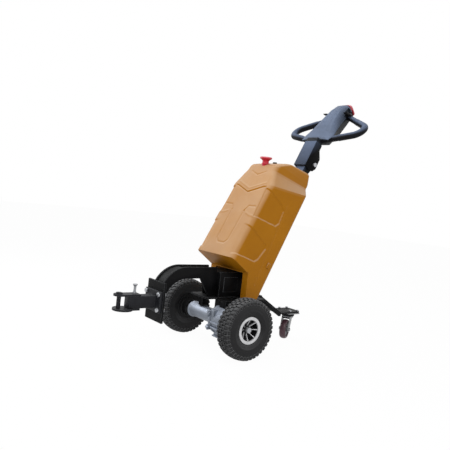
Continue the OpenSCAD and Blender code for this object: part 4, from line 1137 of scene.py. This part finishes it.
STOP_PLACE = (212, 0, 877)
STOP_BODY = [(0, -20), (16, -20), (16, 8), (19, 9), (19, 14), (16, 15), (16, 27), (0, 27)]
STOP_MUSHROOM = [(0, 26), (16, 26), (25.5, 34.6), (28.6, 35.2), (30, 37), (30, 41.5), (28.6, 43.8), (25, 45),
                 (12, 44.6), (0, 44.4)]
KEY_PLACE = (275, 0, 895)
KEY_BARREL = [(0, -30), (11, -30), (11, 4.5), (10, 7), (8.2, 8), (6.4, 8), (5.4, 6.6), (0, 6.6)]
KEY_SLOT = ((-1.1, -4, 3), (1.1, 4, 12))


def stop_and_key():
    """The stop's threaded body, collar and mushroom, and the key switch with its slot."""
    stop_frame = FLOOR_FRAME @ Matrix.Translation(STOP_PLACE)
    body = placed(turned("stop_body", STOP_BODY, 48), stop_frame)
    done(body, "chassis", RED_MOULDING, ["estop_base"])
    mushroom = placed(turned("stop_mushroom", STOP_MUSHROOM, 64), stop_frame)
    done(mushroom, "chassis", RED_MOULDING, ["estop_button"])
    key = cut(turned("key_barrel", KEY_BARREL, 48), block("key_slot", *KEY_SLOT))
    placed(key, FLOOR_FRAME @ Matrix.Translation(KEY_PLACE))
    done(key, "chassis", BLACK_MOULDING, ["key_switch"])


# Stage

# The camera as fitted to the photograph: focal length in its pixels, angles in degrees, place from the datum
PHOTO_PX = 450
FOCAL_PX = 542.336
SENSOR_W = 36
AZIMUTH, ELEVATION, ROLL = -38.544, 2.976, 6.273
CAMERA_PLACE = (DATUM - 1.590, -1.997, 0.706)
# Levels of the world's light and of the floor's glow, the floor's size, and the point that the lamps face
WORLD_LEVEL = 0.5
FLOOR_GLOW = 0.97
FLOOR_SIZE = 24
COVER_MIDDLE = (DATUM + 0.1, 0, 0.6)


def camera_matrix(azimuth, elevation, roll, place):
    """Where the camera stands: azimuth from -Y, negative towards -X, elevation and roll in degrees."""
    a, e, r = (math.radians(x) for x in (azimuth, elevation, roll))
    back = Vector((math.sin(a) * math.cos(e), -math.cos(a) * math.cos(e), math.sin(e)))
    right = Vector((math.cos(a), math.sin(a), 0))
    up = back.cross(right)
    right, up = right * math.cos(r) + up * math.sin(r), up * math.cos(r) - right * math.sin(r)
    matrix = Matrix((right, up, back)).transposed().to_4x4()
    matrix.translation = place
    return matrix


def add_camera():
    """The camera at the photograph's viewing angle."""
    data = bpy.data.cameras.new("camera")
    data.sensor_width = SENSOR_W
    data.lens = SENSOR_W * FOCAL_PX / PHOTO_PX
    camera = bpy.data.objects.new("camera", data)
    bpy.context.scene.collection.objects.link(camera)
    camera.matrix_world = camera_matrix(AZIMUTH, ELEVATION, ROLL, CAMERA_PLACE)
    bpy.context.scene.camera = camera


def seen_directly(tree):
    """1 for rays from the camera, a mirror or glass."""
    path = tree.nodes.new("ShaderNodeLightPath")
    either = math_node(tree, "MAXIMUM", path.outputs["Is Camera Ray"], path.outputs["Is Glossy Ray"])
    return math_node(tree, "MAXIMUM", either, path.outputs["Is Transmission Ray"])


def add_world():
    """A white world that lights the object at a plain level and is full white where it is seen."""
    world = bpy.data.worlds.new("studio")
    world.use_nodes = True
    tree = world.node_tree
    background = tree.nodes["Background"]
    background.inputs["Color"].default_value = (1, 1, 1, 1)
    spare = math_node(tree, "MULTIPLY", seen_directly(tree), 1.0 - WORLD_LEVEL)
    tree.links.new(math_node(tree, "ADD", spare, WORLD_LEVEL), background.inputs["Strength"])
    bpy.context.scene.world = world


def add_floor():
    """A pale floor that glows white where it is seen and keeps a trace of the shadow."""
    bpy.ops.object.select_all(action="DESELECT")
    bpy.ops.mesh.primitive_plane_add(size=FLOOR_SIZE)
    floor = titled("floor")
    material = bpy.data.materials.new("pale_floor")
    material.use_nodes = True
    tree = material.node_tree
    shader = tree.nodes["Principled BSDF"]
    shader.inputs["Base Color"].default_value = (0.9, 0.9, 0.9, 1)
    shader.inputs["Roughness"].default_value = 0.9
    shader.inputs["Specular IOR Level"].default_value = 0.1
    glow = tree.nodes.new("ShaderNodeEmission")
    mix = tree.nodes.new("ShaderNodeMixShader")
    tree.links.new(math_node(tree, "MULTIPLY", seen_directly(tree), FLOOR_GLOW), mix.inputs["Fac"])
    tree.links.new(shader.outputs[0], mix.inputs[1])
    tree.links.new(glow.outputs[0], mix.inputs[2])
    tree.links.new(mix.outputs[0], tree.nodes["Material Output"].inputs["Surface"])
    floor.data.materials.append(material)


def add_lamp(name, toward, distance, size, power, colour=(1, 1, 1)):
    """A square soft lamp that stands in a direction from the cover's middle and faces it."""
    data = bpy.data.lights.new(name, "AREA")
    data.shape = "SQUARE"
    data.size = size
    data.energy = power
    data.color = colour
    lamp = bpy.data.objects.new(name, data)
    bpy.context.scene.collection.objects.link(lamp)
    toward = Vector(toward).normalized()
    lamp.location = Vector(COVER_MIDDLE) + toward * distance
    lamp.rotation_mode = "QUATERNION"
    lamp.rotation_quaternion = toward.to_track_quat("Z", "Y")


bpy.context.scene.view_settings.view_transform = "Standard"
add_camera()
add_world()
add_floor()
add_lamp("sky_sheen", (-0.41, 0.78, 0.47), distance=2.8, size=2.0, power=30, colour=(0.93, 0.97, 1.0))
add_lamp("near_fill", (-0.35, -0.75, 0.6), distance=3.0, size=1.8, power=30)
add_lamp("overhead", (-0.3, 0.1, 1.0), distance=2.6, size=2.2, power=36, colour=(0.95, 0.98, 1.0))

cover_shell()
for wheel in ("left", "right"):
    wheel_tyre(wheel)
    wheel_rim(wheel)
    wheel_hub(wheel)
for piece, node, material, slot_name, body, width in EASED:
    done(eased_copy(piece, node, width), body, material, [node])
axle_casing()
motor_case()
hanger_straps()
head_top()
head_lower()
reverse_button()
bow_handle()
thumb_levers()
stop_and_key()
swivel_guard()
fork_apron()
paint_kept_nodes()
